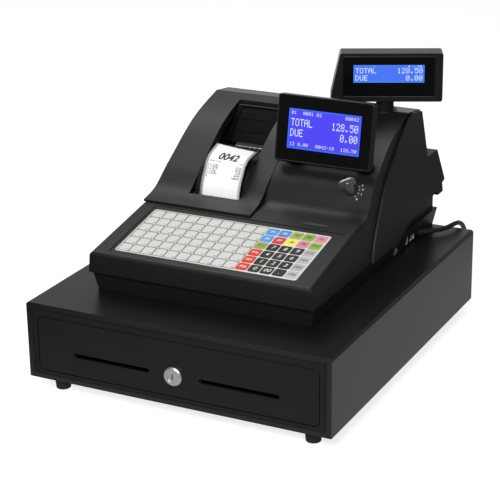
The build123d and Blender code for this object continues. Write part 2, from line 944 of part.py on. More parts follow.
def port_connectors():
    """Metal shells of the side sockets, flanged behind the wall."""
    shells = []
    for y, width, height, level in ports:
        centre = deck + level
        face = base_half_width + port_proud
        half_y = width / 2
        half_z = height / 2
        back = base_half_width - wall - port_reach
        shell = box(back, face, y - half_y, y + half_y, centre - half_z, centre + half_z)
        half_y -= port_wall
        half_z -= port_wall
        mouth = box(
            face - port_depth, face + 1, y - half_y, y + half_y,
            centre - half_z, centre + half_z,
        )
        shells.append(shell - mouth)
    return group(*shells)


def keyboard_housing():
    """Sloping keyboard case with a shallow recess for the key overlay."""
    outer = prism_x(keyboard_outline(0.0), -far, far) & lean_block(0.0)
    deck_faces = outer.faces().filter_by(lambda f: f.normal_at().Z > 0.9).sort_by(Axis.Z)[-1]
    front_edge = edges_near(edges_along(outer, Axis.X), y=keyboard_front, z=deck + keyboard_front_height)
    side_edges = [e for e in deck_faces.edges() if abs(e.center().X) > 100]
    outer = fillet(front_edge + side_edges, keyboard_round)
    inner = prism_x(keyboard_inner_outline(), -far, far) & lean_block(-wall)
    outer -= inner
    recess = overlay_block(overlay_border, -overlay_recess, far).moved(Location((overlay_shift, 0, 0)))
    return outer - recess - finger_grip()


def finger_grip():
    """Lens-shaped hollow behind the overlay: an arc turned about a line above the deck."""
    origin = (grip_x, grip_y, deck + keyboard_deck(grip_y))
    slope = radians(keyboard_slope)
    plane = Plane(origin=origin, x_dir=(1, 0, 0), z_dir=(0, -cos(slope), -sin(slope)))
    height = ((grip_width / 2) ** 2 - grip_depth ** 2) / (2 * grip_depth)
    end = grip_length / 2
    bowl = ThreePointArc((-end, 0), (0, -grip_depth), (end, 0))
    profile = make_face(bowl + Polyline((end, 0), (end, height), (-end, height), (-end, 0)))
    return revolve(plane * profile, axis=Axis((plane * Location((0, height, 0))).position, (1, 0, 0)))


def keyboard_inner_outline():
    """Hollow of the keyboard housing, open below and behind."""
    front = keyboard_front + wall
    back = keyboard_back_top + 2 * wall
    return [
        (front, deck + seam_height - 2 * wall),
        (front, deck + keyboard_deck(front) - wall),
        (back, deck + keyboard_deck(back) - wall),
        (keyboard_back_bottom + 2 * wall, deck + seam_height - 2 * wall),
    ]


def deck_plane():
    """Plane on the keyboard's top with its origin at the overlay's middle."""
    middle = overlay_front + overlay_depth / 2 * cos(radians(keyboard_slope))
    origin = (0, middle, deck + keyboard_deck(middle))
    slope = radians(keyboard_slope)
    return Plane(origin=origin, x_dir=(1, 0, 0), z_dir=(0, -sin(slope), cos(slope)))


def overlay_block(border, low, high):
    """Block over the key area, between two heights measured from the deck."""
    sheet_face = RectangleRounded(overlay_width + 2 * border, overlay_depth + 2 * border, 3.0 + border / 2)
    block = extrude(sheet_face, amount=high - low)
    return deck_plane() * block.moved(Location((0, 0, low)))


def key_overlay():
    """Flat printed key sheet lying in the recess."""
    return overlay_block(0.0, -overlay_recess, -overlay_recess + overlay_thickness)


def keyboard_board():
    """Contact board under the deck's skin."""
    top = -wall - part_gap
    return overlay_block(-key_board_inset, top - key_board_thickness, top)


def case_back(inset):
    """Side outline of the back wall, shelf and rear box, from the top down."""
    return [
        (hood_back - inset, deck + hood_back_height - inset),
        (shelf_front - inset, deck + shelf_height - inset),
        (shelf_back - inset, deck + shelf_height - inset),
        (box_back - inset, deck + box_bulge_height),
        (box_bottom_back - inset, deck + box_bottom),
    ]


def rear_body(line, inset, floor):
    """Side outline under a top line, closed by the back wall and rear box."""
    points = inset_points(line, inset)
    first = line[0][2]
    last = line[-1][2]
    tangents = [
        (cos(radians(first)), sin(radians(first))),
        (cos(radians(last)), sin(radians(last))),
    ]
    back = case_back(inset)
    end = (hood_back - inset, points[-1][1])
    top = Spline(*points[:-1], end, tangents=tangents)
    tail = [end] + back[1:] + [(back[-1][0], deck + floor), (points[0][0], deck + floor), points[0]]
    return [top, Polyline(*tail)]


def upper_case():
    """Fixed upper case: cheeks, right-hand top band, back wall and rear box."""
    outer = prism_x(rear_body(cheek_line, 0.0, seam_height - 4), -far, far) & lean_block(cheek_step)
    band = prism_x(rear_body(hood_line, 0.0, seam_height), seam_x + move_gap, far) & lean_block(0.0)
    outer += band & box(-far, far, band_front, far, deck, deck + far)
    front_gate = prism_x([
        (-far, deck - 50), (-far, deck + far), (band_front, deck + far), (band_front, deck - 50),
    ], -far, far) & lean_block(part_gap)
    room = prism_x(rear_body(hood_line, wall, -20.0), -far, far) & lean_block(part_gap)
    knuckle_floor = deck + hinge_height - knuckle_radius - 1.0
    left_gate = prism_x([
        (-far, deck - 50), (-far, deck + far), (far, deck + far), (far, knuckle_floor),
        (hinge_y - knuckle_radius - 1, knuckle_floor), (hinge_y - knuckle_radius - 1, deck - 50),
    ], -far, seam_x + move_gap) & lean_block(move_gap)
    case = outer - front_gate - room - left_gate - below_seam()
    # lug that carries the printer cover's hinge pin under the top band
    case += box(
        seam_x + move_gap, seam_x + move_gap + lug_width, hinge_y - knuckle_radius, hinge_y + wall,
        deck + hinge_height - knuckle_radius, deck + hood_line[-1][1],
    )
    pin_hole = rod(
        "x", (hinge_y, deck + hinge_height), hinge_pin_dia / 2,
        -side(hinge_height) - cheek_step + pin_end_wall, seam_x + move_gap + lug_width,
    )
    socket_low = deck + socket_top - socket_depth
    socket = rod("z", (pole_x, pole_y), socket_dia / 2 + running_clearance, socket_low, deck + far)
    return case - pin_hole - socket


hinge_y = hood_back - knuckle_radius
hinge_height = hood_back_height - knuckle_radius


def hood_skin(line, x0, x1, inset=0.0):
    """Solid below a hood line between two planes, inside the leaning sides."""
    block = prism_x(under_line(line, inset), x0, x1)
    return block & lean_block(-inset)


def hood_walls(line, x0, x1, grow):
    """Hood skin with its side walls, open inside, clear of the keyboard."""
    outer = hood_skin(line, x0, x1)
    inner_left = x0 if x0 < -100 else x0 + wall
    inner_right = x1 if x1 > 100 else x1 - wall
    inner = hood_skin(line, inner_left, inner_right, wall)
    behind = prism_x(under_line(cheek_line, cheek_tuck), -far, far)
    below = [(-far, deck - far), (-far, deck + seam_height)]
    keyboard = prism_x(keyboard_outline(grow) + below, -far, far)
    floor = box(-far, far, -far, far, deck - far, deck + seam_height + part_gap)
    return outer - inner - behind - keyboard - floor


def printer_cover():
    """Hinged cover over the receipt printer, with its window."""
    cover = hood_walls(hood_line, -far, seam_x, move_gap) - cover_swing_room()
    # window for the paper, with short walls turned down along its sides
    skirts = prism_x(under_line(hood_line, wall - 0.1), window_left - wall, window_right + wall)
    skirts -= prism_x(under_line(hood_line, window_skirt), -far, far)
    skirts &= box(-far, far, platen_y + platen_dia, window_back + wall, deck, deck + far)
    cover += skirts
    window = box(window_left, window_right, window_front, window_back, deck, deck + far)
    cover -= window
    # barrel of the rear hinge
    left = -side(hinge_height) + move_gap + 1
    barrel = rod("x", (hinge_y, deck + hinge_height), knuckle_radius, left, seam_x)
    cover -= box(-far, far, hinge_y, far, deck, deck + far)
    cover += barrel
    lid_hole = hinge_pin_dia / 2 + running_clearance
    ends = (window_left - wall - 1, window_right + wall + 1)
    cover -= rod("x", (lid_pin_y, lid_pin_level), lid_hole, *ends)
    bore = hinge_pin_dia / 2 + running_clearance
    return cover - rod("x", (hinge_y, deck + hinge_height), bore, -far, far)


def cover_swing_room():
    """Room behind the keyboard that the cover's sides keep clear of, an arc about its hinge."""
    corner_y = keyboard_back_top + move_gap
    corner_level = keyboard_deck(keyboard_back_top) + 2 * move_gap
    reach = ((hinge_y - corner_y) ** 2 + (hinge_height - corner_level) ** 2) ** 0.5 - move_gap
    room = box(-far, far, corner_y, hinge_y, deck - far, deck + corner_level)
    return room - rod("x", (hinge_y, deck + hinge_height), reach, -far, far)


def cover_pin():
    """Steel rod that the printer cover turns on."""
    start = -side(hinge_height) - cheek_step + pin_end_wall
    end = seam_x + move_gap + lug_width
    return rod("x", (hinge_y, deck + hinge_height), hinge_pin_dia / 2, start, end)


def behind_split():
    """Everything behind the parting between the two front panels, square to their surface."""
    height, slope = surface_at(hood_line, panel_split)
    origin = (0, panel_split, deck + height)
    plane = Plane(origin=origin, x_dir=(1, 0, 0), z_dir=(0, cos(slope), sin(slope)))
    return extrude(plane * Rectangle(2 * far, 2 * far), amount=far)


def lower_panel():
    """Right-hand front panel that carries the mode switch."""
    panel = hood_walls(panel_line, seam_x + move_gap, far, part_gap)
    panel -= behind_split().moved(Location((0, -part_gap, 0)))
    return panel - switch_cylinder(switch_barrel_dia / 2 + part_gap, -far, far)


def upper_panel():
    """Right-hand panel behind it, under the operator's display."""
    panel = hood_walls(hood_line, seam_x + move_gap, far, part_gap) & behind_split()
    return panel & box(-far, far, -far, band_front - part_gap, deck, deck + far)


# ---------------------------------------------------------------- mode switch
def switch_plane():
    """Plane on the lower panel at the mode switch, X along the key's bow at rest."""
    height, slope = surface_at(panel_line, switch_y)
    normal = (0, -sin(slope), cos(slope))
    turn = radians(switch_turn)
    across = (cos(turn), sin(turn) * cos(slope), sin(turn) * sin(slope))
    return Plane(origin=(switch_x, switch_y, deck + height), x_dir=across, z_dir=normal)


def switch_cylinder(radius, low, high):
    """Cylinder along the switch's axis, between two heights above the panel."""
    bar = Cylinder(radius, high - low, align=(Align.CENTER, Align.CENTER, Align.MIN))
    return switch_plane() * bar.moved(Location((0, 0, low)))


def mode_lock_bezel():
    """Raised ring round the mode switch."""
    ring = Cone(
        switch_ring_dia / 2, switch_barrel_dia / 2 + switch_ring_lip, switch_ring_height,
        align=(Align.CENTER, Align.CENTER, Align.MIN),
    )
    ring = switch_plane() * ring.moved(Location((0, 0, running_clearance)))
    return ring - switch_cylinder(switch_barrel_dia / 2 + running_clearance, -far, far)


def mode_lock_barrel():
    """Turning barrel of the mode switch with its key slot."""
    face = switch_ring_height + switch_face_rise
    barrel = switch_cylinder(switch_barrel_dia / 2, -switch_barrel_length, face)
    slot = Box(
        key_bow_width / 2 + 2 * part_gap, key_thickness + 2 * running_clearance,
        2 * (key_blade_reach + part_gap),
    )
    return barrel - switch_plane() * slot.moved(Location((0, 0, face)))


def mode_key():
    """Key standing in the mode switch: blade and rounded bow."""
    face = switch_ring_height + switch_face_rise
    stem = Box(
        key_bow_width / 2, key_thickness, key_blade_reach + key_stem,
        align=(Align.CENTER, Align.CENTER, Align.MIN),
    ).moved(Location((0, 0, face - key_blade_reach)))
    bow_face = RectangleRounded(key_bow_width, key_bow_height, key_bow_corner)
    bow = extrude(Plane.XZ * bow_face, amount=key_thickness / 2, both=True)
    bow_low = face + key_stem - key_bow_sink
    bow = bow.moved(Location((0, 0, bow_low + key_bow_height / 2)))
    ring_hole = Cylinder(key_hole_dia / 2, 4 * key_thickness).rotate(Axis.X, 90)
    ring_hole = ring_hole.moved(Location((0, 0, bow_low + key_bow_height - key_hole_inset)))
    return switch_plane() * (stem + bow - ring_hole)


# ---------------------------------------------------------------- printer
chassis_floor = deck + wall
platen_axis = deck + platen_height
roll_level = deck + roll_height
frame_inner_left = paper_middle - paper_width / 2 - frame_side_room
frame_inner_right = paper_middle + paper_width / 2 + frame_side_room
frame_left = frame_inner_left - bucket_wall
frame_right = frame_inner_right + bucket_wall
bucket_radius = roll_dia / 2 + bucket_room
bucket_floor = roll_level - bucket_radius - bucket_wall
web_y = platen_y - platen_dia / 2 - web_gap - paper_thickness / 2
frame_front = web_y - paper_thickness / 2 - web_gap - head_depth - bucket_wall
frame_back = roll_y + bucket_radius + bucket_wall
gear_right = frame_left - part_gap
gear_left = gear_right - gear_width
gear_spacing = gear_module * (gear_teeth + pinion_teeth) / 2 + gear_backlash
motor_y = platen_y + gear_spacing
motor_centre = (motor_y, platen_axis)
motor_right = gear_left - motor_gap
motor_left = motor_right - motor_length
motor_shaft_radius = axle_dia / 4
rotor_radius = motor_dia / 2 - motor_wall - rotor_room


def printer_frame():
    """Moulded printer chassis: walls for the platen, paper bucket and four legs."""
    block = box(frame_left, frame_right, frame_front, frame_back, bucket_floor, roll_level + roll_dia / 3)
    block &= prism_x(under_line(hood_line, window_skirt + bucket_wall), -far, far)
    trough = rod("x", (roll_y, roll_level), bucket_radius, frame_inner_left, frame_inner_right)
    trough += box(
        frame_inner_left, frame_inner_right, frame_front + bucket_wall, roll_y,
        bucket_floor + bucket_wall, deck + far,
    )
    trough += box(
        frame_inner_left, frame_inner_right, roll_y, roll_y + bucket_radius, roll_level, deck + far,
    )
    frame = block - trough
    shaft_bore = motor_shaft_radius + running_clearance
    frame -= rod("x", motor_centre, shaft_bore, frame_left - 1, frame_inner_left + 1)
    for x in (frame_left, frame_right - frame_leg):
        for y in (frame_front, frame_back - frame_leg):
            frame += box(x, x + frame_leg, y, y + frame_leg, chassis_floor, bucket_floor + 1)
    axle_bore = axle_dia / 2 + running_clearance
    return frame - rod("x", (platen_y, platen_axis), axle_bore, frame_left - 1, frame_right + 1)


def platen_roller():
    """Rubber-covered feed roller with its axle."""
    start = frame_inner_left + part_gap
    end = frame_inner_right - part_gap
    return rod("x", (platen_y, platen_axis), platen_dia / 2, start, end) + platen_axle()


def platen_axle():
    """Axle through the roller, the frame's walls and the feed wheel."""
    return rod("x", (platen_y, platen_axis), axle_dia / 2, gear_left - 1, frame_right + 2)


def spur_gear(centre, teeth, phase, left, right):
    """Straight-toothed wheel along X; phase is the first gap's place as a share of the pitch."""
    pitch = 2 * pi / teeth
    tip = gear_module * (teeth / 2 + 1)
    root = gear_module * (teeth / 2 - 1.25)
    outline = []
    for index in range(teeth):
        for share, radius in ((0.0, root), (0.56, root), (0.66, tip), (0.9, tip)):
            angle = (index + share + phase) * pitch
            outline.append((centre[0] + radius * cos(angle), centre[1] + radius * sin(angle)))
    return prism_x(outline, left, right)


def platen_gear():
    """Feed wheel on the platen's axle, a tooth towards the pinion."""
    wheel = spur_gear((platen_y, platen_axis), gear_teeth, -0.78, gear_left, gear_right)
    return wheel - platen_axle()


def motor_pinion():
    """Pinion, shaft and rotor of the feed motor, a gap towards the feed wheel."""
    pinion = spur_gear(motor_centre, pinion_teeth, -0.28, gear_left, gear_right)
    shaft = rod("x", motor_centre, motor_shaft_radius, motor_left, frame_inner_left - part_gap)
    inside = motor_wall + rotor_room
    rotor = rod("x", motor_centre, rotor_radius, motor_left + inside, motor_right - inside)
    return pinion + shaft + rotor


def feed_motor():
    """Can of the stepper motor beside the frame's left wall, on its own foot."""
    can = rod("x", motor_centre, motor_dia / 2, motor_left, motor_right)
    foot_left = motor_left + motor_wall
    half = motor_foot_width / 2
    can += box(
        foot_left, foot_left + motor_foot_thickness, motor_y - half, motor_y + half,
        chassis_floor, platen_axis,
    )
    can -= rod(
        "x", motor_centre, motor_dia / 2 - motor_wall, motor_left + motor_wall, motor_right - motor_wall,
    )
    bore = motor_shaft_radius + running_clearance
    return can - rod("x", motor_centre, bore, motor_left - 1, motor_right + 1)


def print_head():
    """Thermal head bar in front of the platen, with a heat sink foot."""
    face = web_y - paper_thickness / 2 - web_gap
    middle = platen_axis
    bar = box(
        frame_inner_left, frame_inner_right, face - head_depth, face,
        middle - head_height / 2, middle + head_height / 2,
    )
    return chamfer(edges_near(edges_along(bar, Axis.X), y=face), 1.0)


def paper_roll():
    """Roll of thermal paper and the card core that it is wound on."""
    x0 = paper_middle - paper_width / 2
    x1 = x0 + paper_width
    centre = (roll_y, roll_level)
    core = rod("x", centre, roll_core_dia / 2, x0, x1)
    roll = rod("x", centre, roll_dia / 2, x0, x1) - core
    return group(roll, core - rod("x", centre, roll_core_dia / 2 - roll_core_wall, x0 - 1, x1 + 1))


# Receipt from the exit upwards: y, height above the cabinet.
receipt_curve = [(-10.5, 84.0), (-2.5, 107.5), (9.0, 125.5), (20.0, 134.0), (41.0, 140.5)]


def receipt_paper():
    """Paper from the roll, round the platen and out, curling back at its end."""
    x0 = paper_middle - paper_width / 2
    wrap = platen_dia / 2 + web_gap + paper_thickness / 2
    leave = roll_dia / 2 + web_gap + paper_thickness / 2
    start = (roll_y - 4.0, roll_level - leave)
    low = (platen_y, platen_axis - wrap)
    nip = (web_y, platen_axis)
    middle = (platen_y - wrap * sin(pi / 4), platen_axis - wrap * cos(pi / 4))
    web = Line(start, low)
    turn = ThreePointArc(low, middle, nip)
    exits = [nip] + [(y, deck + h) for y, h in receipt_curve]
    rise = Spline(*exits, tangents=[(0, 1), (1, 0.12)])
    strip = None
    for edge in (web, turn, rise):
        face = Plane.YZ * even_strip(edge, paper_thickness)
        piece = extrude(face, amount=paper_width)
        strip = piece if strip is None else strip + piece
    return strip.moved(Location((x0, 0, 0)))


def even_strip(edge, thickness):
    """Face of even thickness along a flat curved edge."""
    steps = 14
    front = []
    rear = []
    for index in range(steps + 1):
        point = edge @ (index / steps)
        along = edge % (index / steps)
        front.append((point.X - along.Y * thickness / 2, point.Y + along.X * thickness / 2))
        rear.append((point.X + along.Y * thickness / 2, point.Y - along.X * thickness / 2))
    rear.reverse()
    sides = [Spline(*front), Line(front[-1], rear[0]), Spline(*rear), Line(rear[-1], front[0])]
    return make_face(sides)


def tear_bar():
    """Saw-toothed steel strip inside the window's front edge."""
    left = paper_middle - paper_width / 2 - tear_overhang
    right = paper_middle + paper_width / 2 + tear_overhang
    top = deck + surface_at(hood_line, window_front)[0] + tear_rise
    strip = box(left, right, window_front, window_front + tear_thickness, top - tear_depth, top)
    count = int((right - left) / tear_pitch)
    notch = None
    for index in range(count):
        x = left + (index + 0.5) * tear_pitch
        face = Plane.XZ * make_face(Polyline(
            (x - tear_pitch / 2, top + 0.1), (x + tear_pitch / 2, top + 0.1),
            (x, top - tear_pitch / 2), close=True,
        ))
        cut = extrude(face, amount=5, both=True).moved(Location((0, window_front, 0)))
        notch = cut if notch is None else notch + cut
    return strip - notch


# ---------------------------------------------------------------- paper lid
lid_angle = atan2(lid_back_height - lid_front_height, lid_back - lid_front)
lid_length = (lid_back - lid_front) / cos(lid_angle)
lid_half = (window_right - window_left) / 2 - lid_side_gap
lid_x = (window_left + window_right) / 2
lid_pin_y = lid_back + lid_thickness / 2 * sin(lid_angle)
lid_pin_level = deck + lid_back_height - lid_thickness / 2 * cos(lid_angle)


def lid_plane():
    """Plane of the lid's top face: origin at its hinge, -Y down its slope."""
    return Plane(
        origin=(lid_x, lid_back, deck + lid_back_height), x_dir=(1, 0, 0),
        z_dir=(0, -sin(lid_angle), cos(lid_angle)),
    )


def paper_lid():
    """Ribbed inner lid over the paper bucket, with a pivot pin at each end of its upper edge."""
    plate = box(-lid_half, lid_half, -lid_length, 0, -lid_thickness, 0)
    for sign in (-1, 1):
        inner = sign * (lid_half - lid_edge)
        outer = sign * lid_half
        plate += box(min(inner, outer), max(inner, outer), -lid_length, 0, -0.1, lid_rib)
    plate += box(-lid_half, lid_half, -lid_length, -lid_length + lid_edge, -lid_lip, lid_rib)
    for index in range(1, lid_ribs + 1):
        y = -lid_length * index / (lid_ribs + 1)
        front = y - lid_rib_width / 2
        plate += box(
            -lid_half + lid_edge, lid_half - lid_edge, front, front + lid_rib_width,
            -0.1, lid_rib_height,
        )
    plate += rod("x", (0, -lid_thickness / 2), hinge_pin_dia, -lid_half, lid_half)
    reach = lid_half + lid_side_gap + wall
    plate += rod("x", (0, -lid_thickness / 2), hinge_pin_dia / 2, -reach, reach)
    return lid_plane() * plate


# ---------------------------------------------------------------- operator display
def screen_plane():
    """Plane on the operator display's front face, Z towards the operator."""
    return Plane(
        origin=(screen_x, screen_y, deck + screen_centre_height), x_dir=(1, 0, 0),
        z_dir=(0, -cos(radians(screen_tilt)), sin(radians(screen_tilt))),
    )


def face_block(width, height, corner, low, high):
    """Rounded plate between two depths, measured along Z."""
    block = extrude(RectangleRounded(width, height, corner), amount=high - low)
    return block.moved(Location((0, 0, low)))


def screen_front():
    """Front frame of the operator display with a raised rim round the glass."""
    frame = face_block(screen_width, screen_height, screen_corner, -screen_front_depth, 0.0)
    frame = chamfer(frame.faces().sort_by(Axis.Z)[-1].edges(), 0.6)
    glass_width = screen_width - 2 * screen_rim + 2 * part_gap
    glass_height = screen_height - 2 * screen_rim + 2 * part_gap
    frame -= face_block(glass_width, glass_height, glass_corner, -glass_sink - glass_thickness, 1.0)
    ledge_width = glass_width - 4 * screen_wall
    ledge_height = glass_height - 4 * screen_wall
    frame -= face_block(ledge_width, ledge_height, glass_corner, -screen_thickness, 1.0)
    return screen_plane() * frame


def screen_glass():
    """Clear window of the operator display."""
    width = screen_width - 2 * screen_rim
    height = screen_height - 2 * screen_rim
    back = -glass_sink - glass_thickness
    return screen_plane() * face_block(width, height, glass_corner, back, -glass_sink)


def screen_lcd():
    """Liquid crystal module behind the operator's window."""
    top = -glass_sink - glass_thickness - part_gap
    return screen_plane() * face_block(lcd_width, lcd_height, 1.0, top - lcd_thickness, top)


def screen_back():
    """Rear shell of the operator display with its two hinge lugs."""
    shell = face_block(screen_width, screen_height, screen_corner, -screen_thickness, -screen_front_depth)
    shell = chamfer(shell.faces().sort_by(Axis.Z)[0].edges(), 1.5)
    inner_width = screen_width - 2 * screen_wall
    inner_height = screen_height - 2 * screen_wall
    shell -= face_block(inner_width, inner_height, screen_corner, -screen_thickness + screen_wall, 0.0)
    shell = screen_plane() * shell
    centre = (pivot_y, deck + pivot_height)
    for sign in (-1, 1):
        edge = screen_x + sign * (pivot_span - ear_thickness / 2 - ear_gap)
        inner = edge - sign * pivot_lug_width
        x0 = min(edge, inner)
        x1 = max(edge, inner)
        lug = rod("x", centre, pivot_lug_dia / 2, x0, x1)
        web = box(
            x0, x1, pivot_y - pivot_lug_dia, pivot_y,
            centre[1] - pivot_lug_dia / 4, centre[1] + pivot_lug_dia / 2,
        )
        front_room = screen_plane() * box(-far, far, -far, far, -screen_thickness + 1.0, far)
        shell += lug + (web - front_room)
    return shell - rod("x", centre, pivot_pin_dia / 2 + running_clearance, -far, far)


def screen_pivot_pin():
    """Hinge pin of the operator display with a cap on each end."""
    centre = (pivot_y, deck + pivot_height)
    reach = pivot_span + ear_thickness / 2
    pin = rod("x", centre, pivot_pin_dia / 2, screen_x - reach, screen_x + reach)
    for sign in (-1, 1):
        edge = screen_x + sign * reach
        outer = edge + sign * pivot_cap_width
        pin += rod("x", centre, pivot_cap_dia / 2, min(edge, outer), max(edge, outer))
    return pin


def screen_bracket():
    """Bar on the upper panel with an ear at each end for the hinge pin."""
    centre = (pivot_y, deck + pivot_height)
    reach = pivot_span + ear_thickness / 2
    height, slope = surface_at(hood_line, pivot_y)
    origin = (screen_x, pivot_y, deck + height + running_clearance)
    surface = Plane(origin=origin, x_dir=(1, 0, 0), z_dir=(0, -sin(slope), cos(slope)))
    bar = surface * box(-reach, reach, -bracket_depth / 2 + 1, bracket_depth / 2 + 1, 0.0, bracket_thickness)
    between = reach - ear_thickness
    bar -= rod("x", centre, pivot_lug_dia / 2 + move_gap, screen_x - between, screen_x + between)
    foot = surface * box(-far, far, -far, far, -far, 0.0)
    for sign in (-1, 1):
        outer = screen_x + sign * reach
        inner = outer - sign * ear_thickness
        x0 = min(outer, inner)
        x1 = max(outer, inner)
        half = pivot_lug_dia / 2
        ear = rod("x", centre, half, x0, x1)
        ear += box(x0, x1, pivot_y - half, pivot_y + half, centre[1] - 2 * pivot_lug_dia, centre[1])
        bar += ear - foot
    return bar - rod("x", centre, pivot_pin_dia / 2, -far, far)


# ---------------------------------------------------------------- customer display
turret_level = deck + turret_bottom
turret_place = Location((pole_x, pole_y, turret_level), (0, 0, turret_yaw))


def turret_sides(inset):
    """Everything between the head's upright right side and its leaning left side."""
    middle = turret_offset - turret_width / 2 + inset
    slope = turret_lean / turret_height
    right = turret_offset + turret_width / 2 - inset
    face = Plane.XZ * make_face(Polyline(
        (middle - turret_lean, -turret_height / 2),
        (middle + turret_lean, turret_height / 2 * 3),
        (right, turret_height / 2 * 3), (right, -turret_height / 2), close=True,
    ))
    return extrude(face, amount=far, both=True)


def turret_body(inset):
    """Wedge-shaped head about the pole's axis, front face towards -Y."""
    back_top = turret_top_depth - turret_front
    back_bottom = turret_bottom_depth - turret_front
    outline = [
        (-turret_front + inset, inset), (-turret_front + inset, turret_height - inset),
        (back_top - inset, turret_height - inset), (back_bottom - inset, inset),
    ]
    return prism_x(outline, -far, far) & turret_sides(inset)


def turret_front_frame():
    """Front frame of the customer display round its window."""
    body = turret_body(0.0)
    body = fillet(edges_along(body, Axis.Y), turret_corner)
    body &= box(-far, far, -far, -turret_front + turret_front_depth, -far, far)
    middle = turret_height / 2 + turret_window_rise
    half_width = turret_window_width / 2
    half_height = turret_window_height / 2
    window = box(
        turret_offset - half_width - part_gap, turret_offset + half_width + part_gap, -far,
        -turret_front + glass_sink + glass_thickness,
        middle - half_height - part_gap, middle + half_height + part_gap,
    )
    body -= fillet(edges_along(window, Axis.Y), glass_corner)
    half_width -= 2 * turret_wall
    half_height -= 2 * turret_wall
    body -= box(
        turret_offset - half_width, turret_offset + half_width, -far, 0,
        middle - half_height, middle + half_height,
    )
    return turret_place * body


def turret_glass():
    """Clear window of the customer display."""
    middle = turret_height / 2 + turret_window_rise
    face = -turret_front + glass_sink
    pane = box(
        turret_offset - turret_window_width / 2, turret_offset + turret_window_width / 2,
        face, face + glass_thickness, middle - turret_window_height / 2, middle + turret_window_height / 2,
    )
    return turret_place * fillet(edges_along(pane, Axis.Y), glass_corner)


def turret_lcd():
    """Liquid crystal module behind the customer's window."""
    middle = turret_height / 2 + turret_window_rise + turret_lcd_rise
    face = -turret_front + glass_sink + glass_thickness + part_gap
    return turret_place * box(
        turret_offset - turret_lcd_width / 2, turret_offset + turret_lcd_width / 2,
        face, face + lcd_thickness, middle - turret_lcd_height / 2, middle + turret_lcd_height / 2,
    )


def turret_back():
    """Rear shell of the customer display, with a sleeve for the pole."""
    outer = turret_body(0.0)
    outer = fillet(edges_along(outer, Axis.Y), turret_corner)
    shell = outer - turret_body(turret_wall)
    shell &= box(-far, far, -turret_front + turret_front_depth, far, -far, far)
    sleeve = rod("z", (0, 0), pole_dia / 2 + turret_wall, 0, pole_tenon + turret_wall)
    sleeve &= box(-far, far, -turret_front + turret_front_depth + 1, far, -far, far)
    shell += sleeve
    return turret_place * (shell - rod("z", (0, 0), pole_dia / 2 + running_clearance, -1, pole_tenon))


def turret_pole():
    """Hollow pole between the head and its socket in the top band."""
    foot = deck + socket_top - socket_depth
    pole = rod("z", (pole_x, pole_y), pole_dia / 2, foot, turret_level + pole_tenon)
    pole += rod("z", (pole_x, pole_y), pole_flange_dia / 2, foot - pole_flange_height, foot)
    return pole - rod("z", (pole_x, pole_y), pole_bore_dia / 2, foot - far, turret_level + far)


def turret_socket():
    """Collar in the top band that the pole turns in."""
    low = deck + socket_top - socket_depth + part_gap
    high = deck + socket_top
    collar = rod("z", (pole_x, pole_y), socket_dia / 2, low, high)
    collar = chamfer(collar.edges().sort_by(Axis.Z)[-1], 0.8)
    bore = pole_dia / 2 + running_clearance
    return collar - rod("z", (pole_x, pole_y), bore, low - 1, high + 1)


# ---------------------------------------------------------------- inside the base
def main_board():
    """Circuit board on four posts, with its chips."""
    level = chassis_floor + post_height
    right = base_half_width - main_board_inset
    left = right - main_board_width
    front = base_front + main_board_start
    back = front + main_board_depth
    top = level + board_thickness
    board = box(left, right, front, back, level, top)
    for x in (left + board_post_inset, right - board_post_inset):
        for y in (front + board_post_inset, back - board_post_inset):
            board += rod("z", (x, y), board_post_dia / 2, chassis_floor, level + board_thickness / 2)
    for across, along, width, depth, height in chips:
        x = left + chip_x + across - width / 2
        y = front + chip_y + along - depth / 2
        board += box(x, x + width, y, y + depth, level, top + height)
    return board


def standing_block(width, depth, low, high):
    """Block of the power supply about its own middle."""
    return box(
        supply_x - width / 2, supply_x + width / 2, supply_y - depth / 2, supply_y + depth / 2,
        chassis_floor + low, chassis_floor + high,
    )


def power_supply():
    """Mains transformer and its frame at the rear right."""
    core = standing_block(supply_width, supply_depth, 0.0, supply_height)
    low = (supply_height - winding_height) / 2
    coil = standing_block(winding_width, winding_depth, low, low + winding_height)
    coil = fillet(edges_along(coil, Axis.Z), (winding_depth - supply_depth) / 3)
    feet = standing_block(supply_foot_width, supply_foot_depth, 0.0, supply_foot_thickness)
    return core + coil + feet


screw_x = base_half_width - case_screw_inset
case_screw_places = [
    (-screw_x, base_front + case_screw_front), (screw_x, base_front + case_screw_front),
    (-screw_x, case_screw_left_back), (screw_x, case_screw_right_back),
]


def case_bosses():
    """Columns in the base for the case screws."""
    top = deck + seam_height - part_gap
    return [rod("z", place, boss_dia / 2, deck, top) for place in case_screw_places]


def case_screws():
    """Screws from below through the base's bosses."""
    low = deck + case_screw_sink
    screws = []
    for place in case_screw_places:
        head = rod("z", place, case_screw_head_dia / 2, low, low + case_screw_head_height)
        shank = rod("z", place, case_screw_dia / 2, low, low + case_screw_length)
        screws.append(head + shank)
    return group(*screws)


def screw_holes():
    """Head recesses and shank holes for the case screws."""
    low = deck + case_screw_sink
    holes = None
    for place in case_screw_places:
        hole = rod("z", place, case_screw_head_dia / 2, deck - 1, low + case_screw_head_height)
        hole += rod("z", place, case_screw_dia / 2, deck, low + case_screw_length)
        holes = hole if holes is None else holes + hole
    return holes


# ---------------------------------------------------------------- power cord
relief_level = deck + relief_rise
relief_start = (base_half_width - wall, relief_y - wall, relief_level)
relief_heading = (cos(radians(relief_turn)), sin(radians(relief_turn)), 0)
cord_radius = cord_dia / 2
coil_out = coil_radius + cord_dia
coil_layer = cord_dia * sin(pi / 3)
coil_height = cord_dia + 2 * coil_layer
coil_front = coil_y - coil_out
coil_width = coil_turns_across * cord_dia
coil_edge = ((coil_radius + coil_width / 2) ** 2 - coil_out ** 2) ** 0.5
plug_level = cord_radius + coil_layer


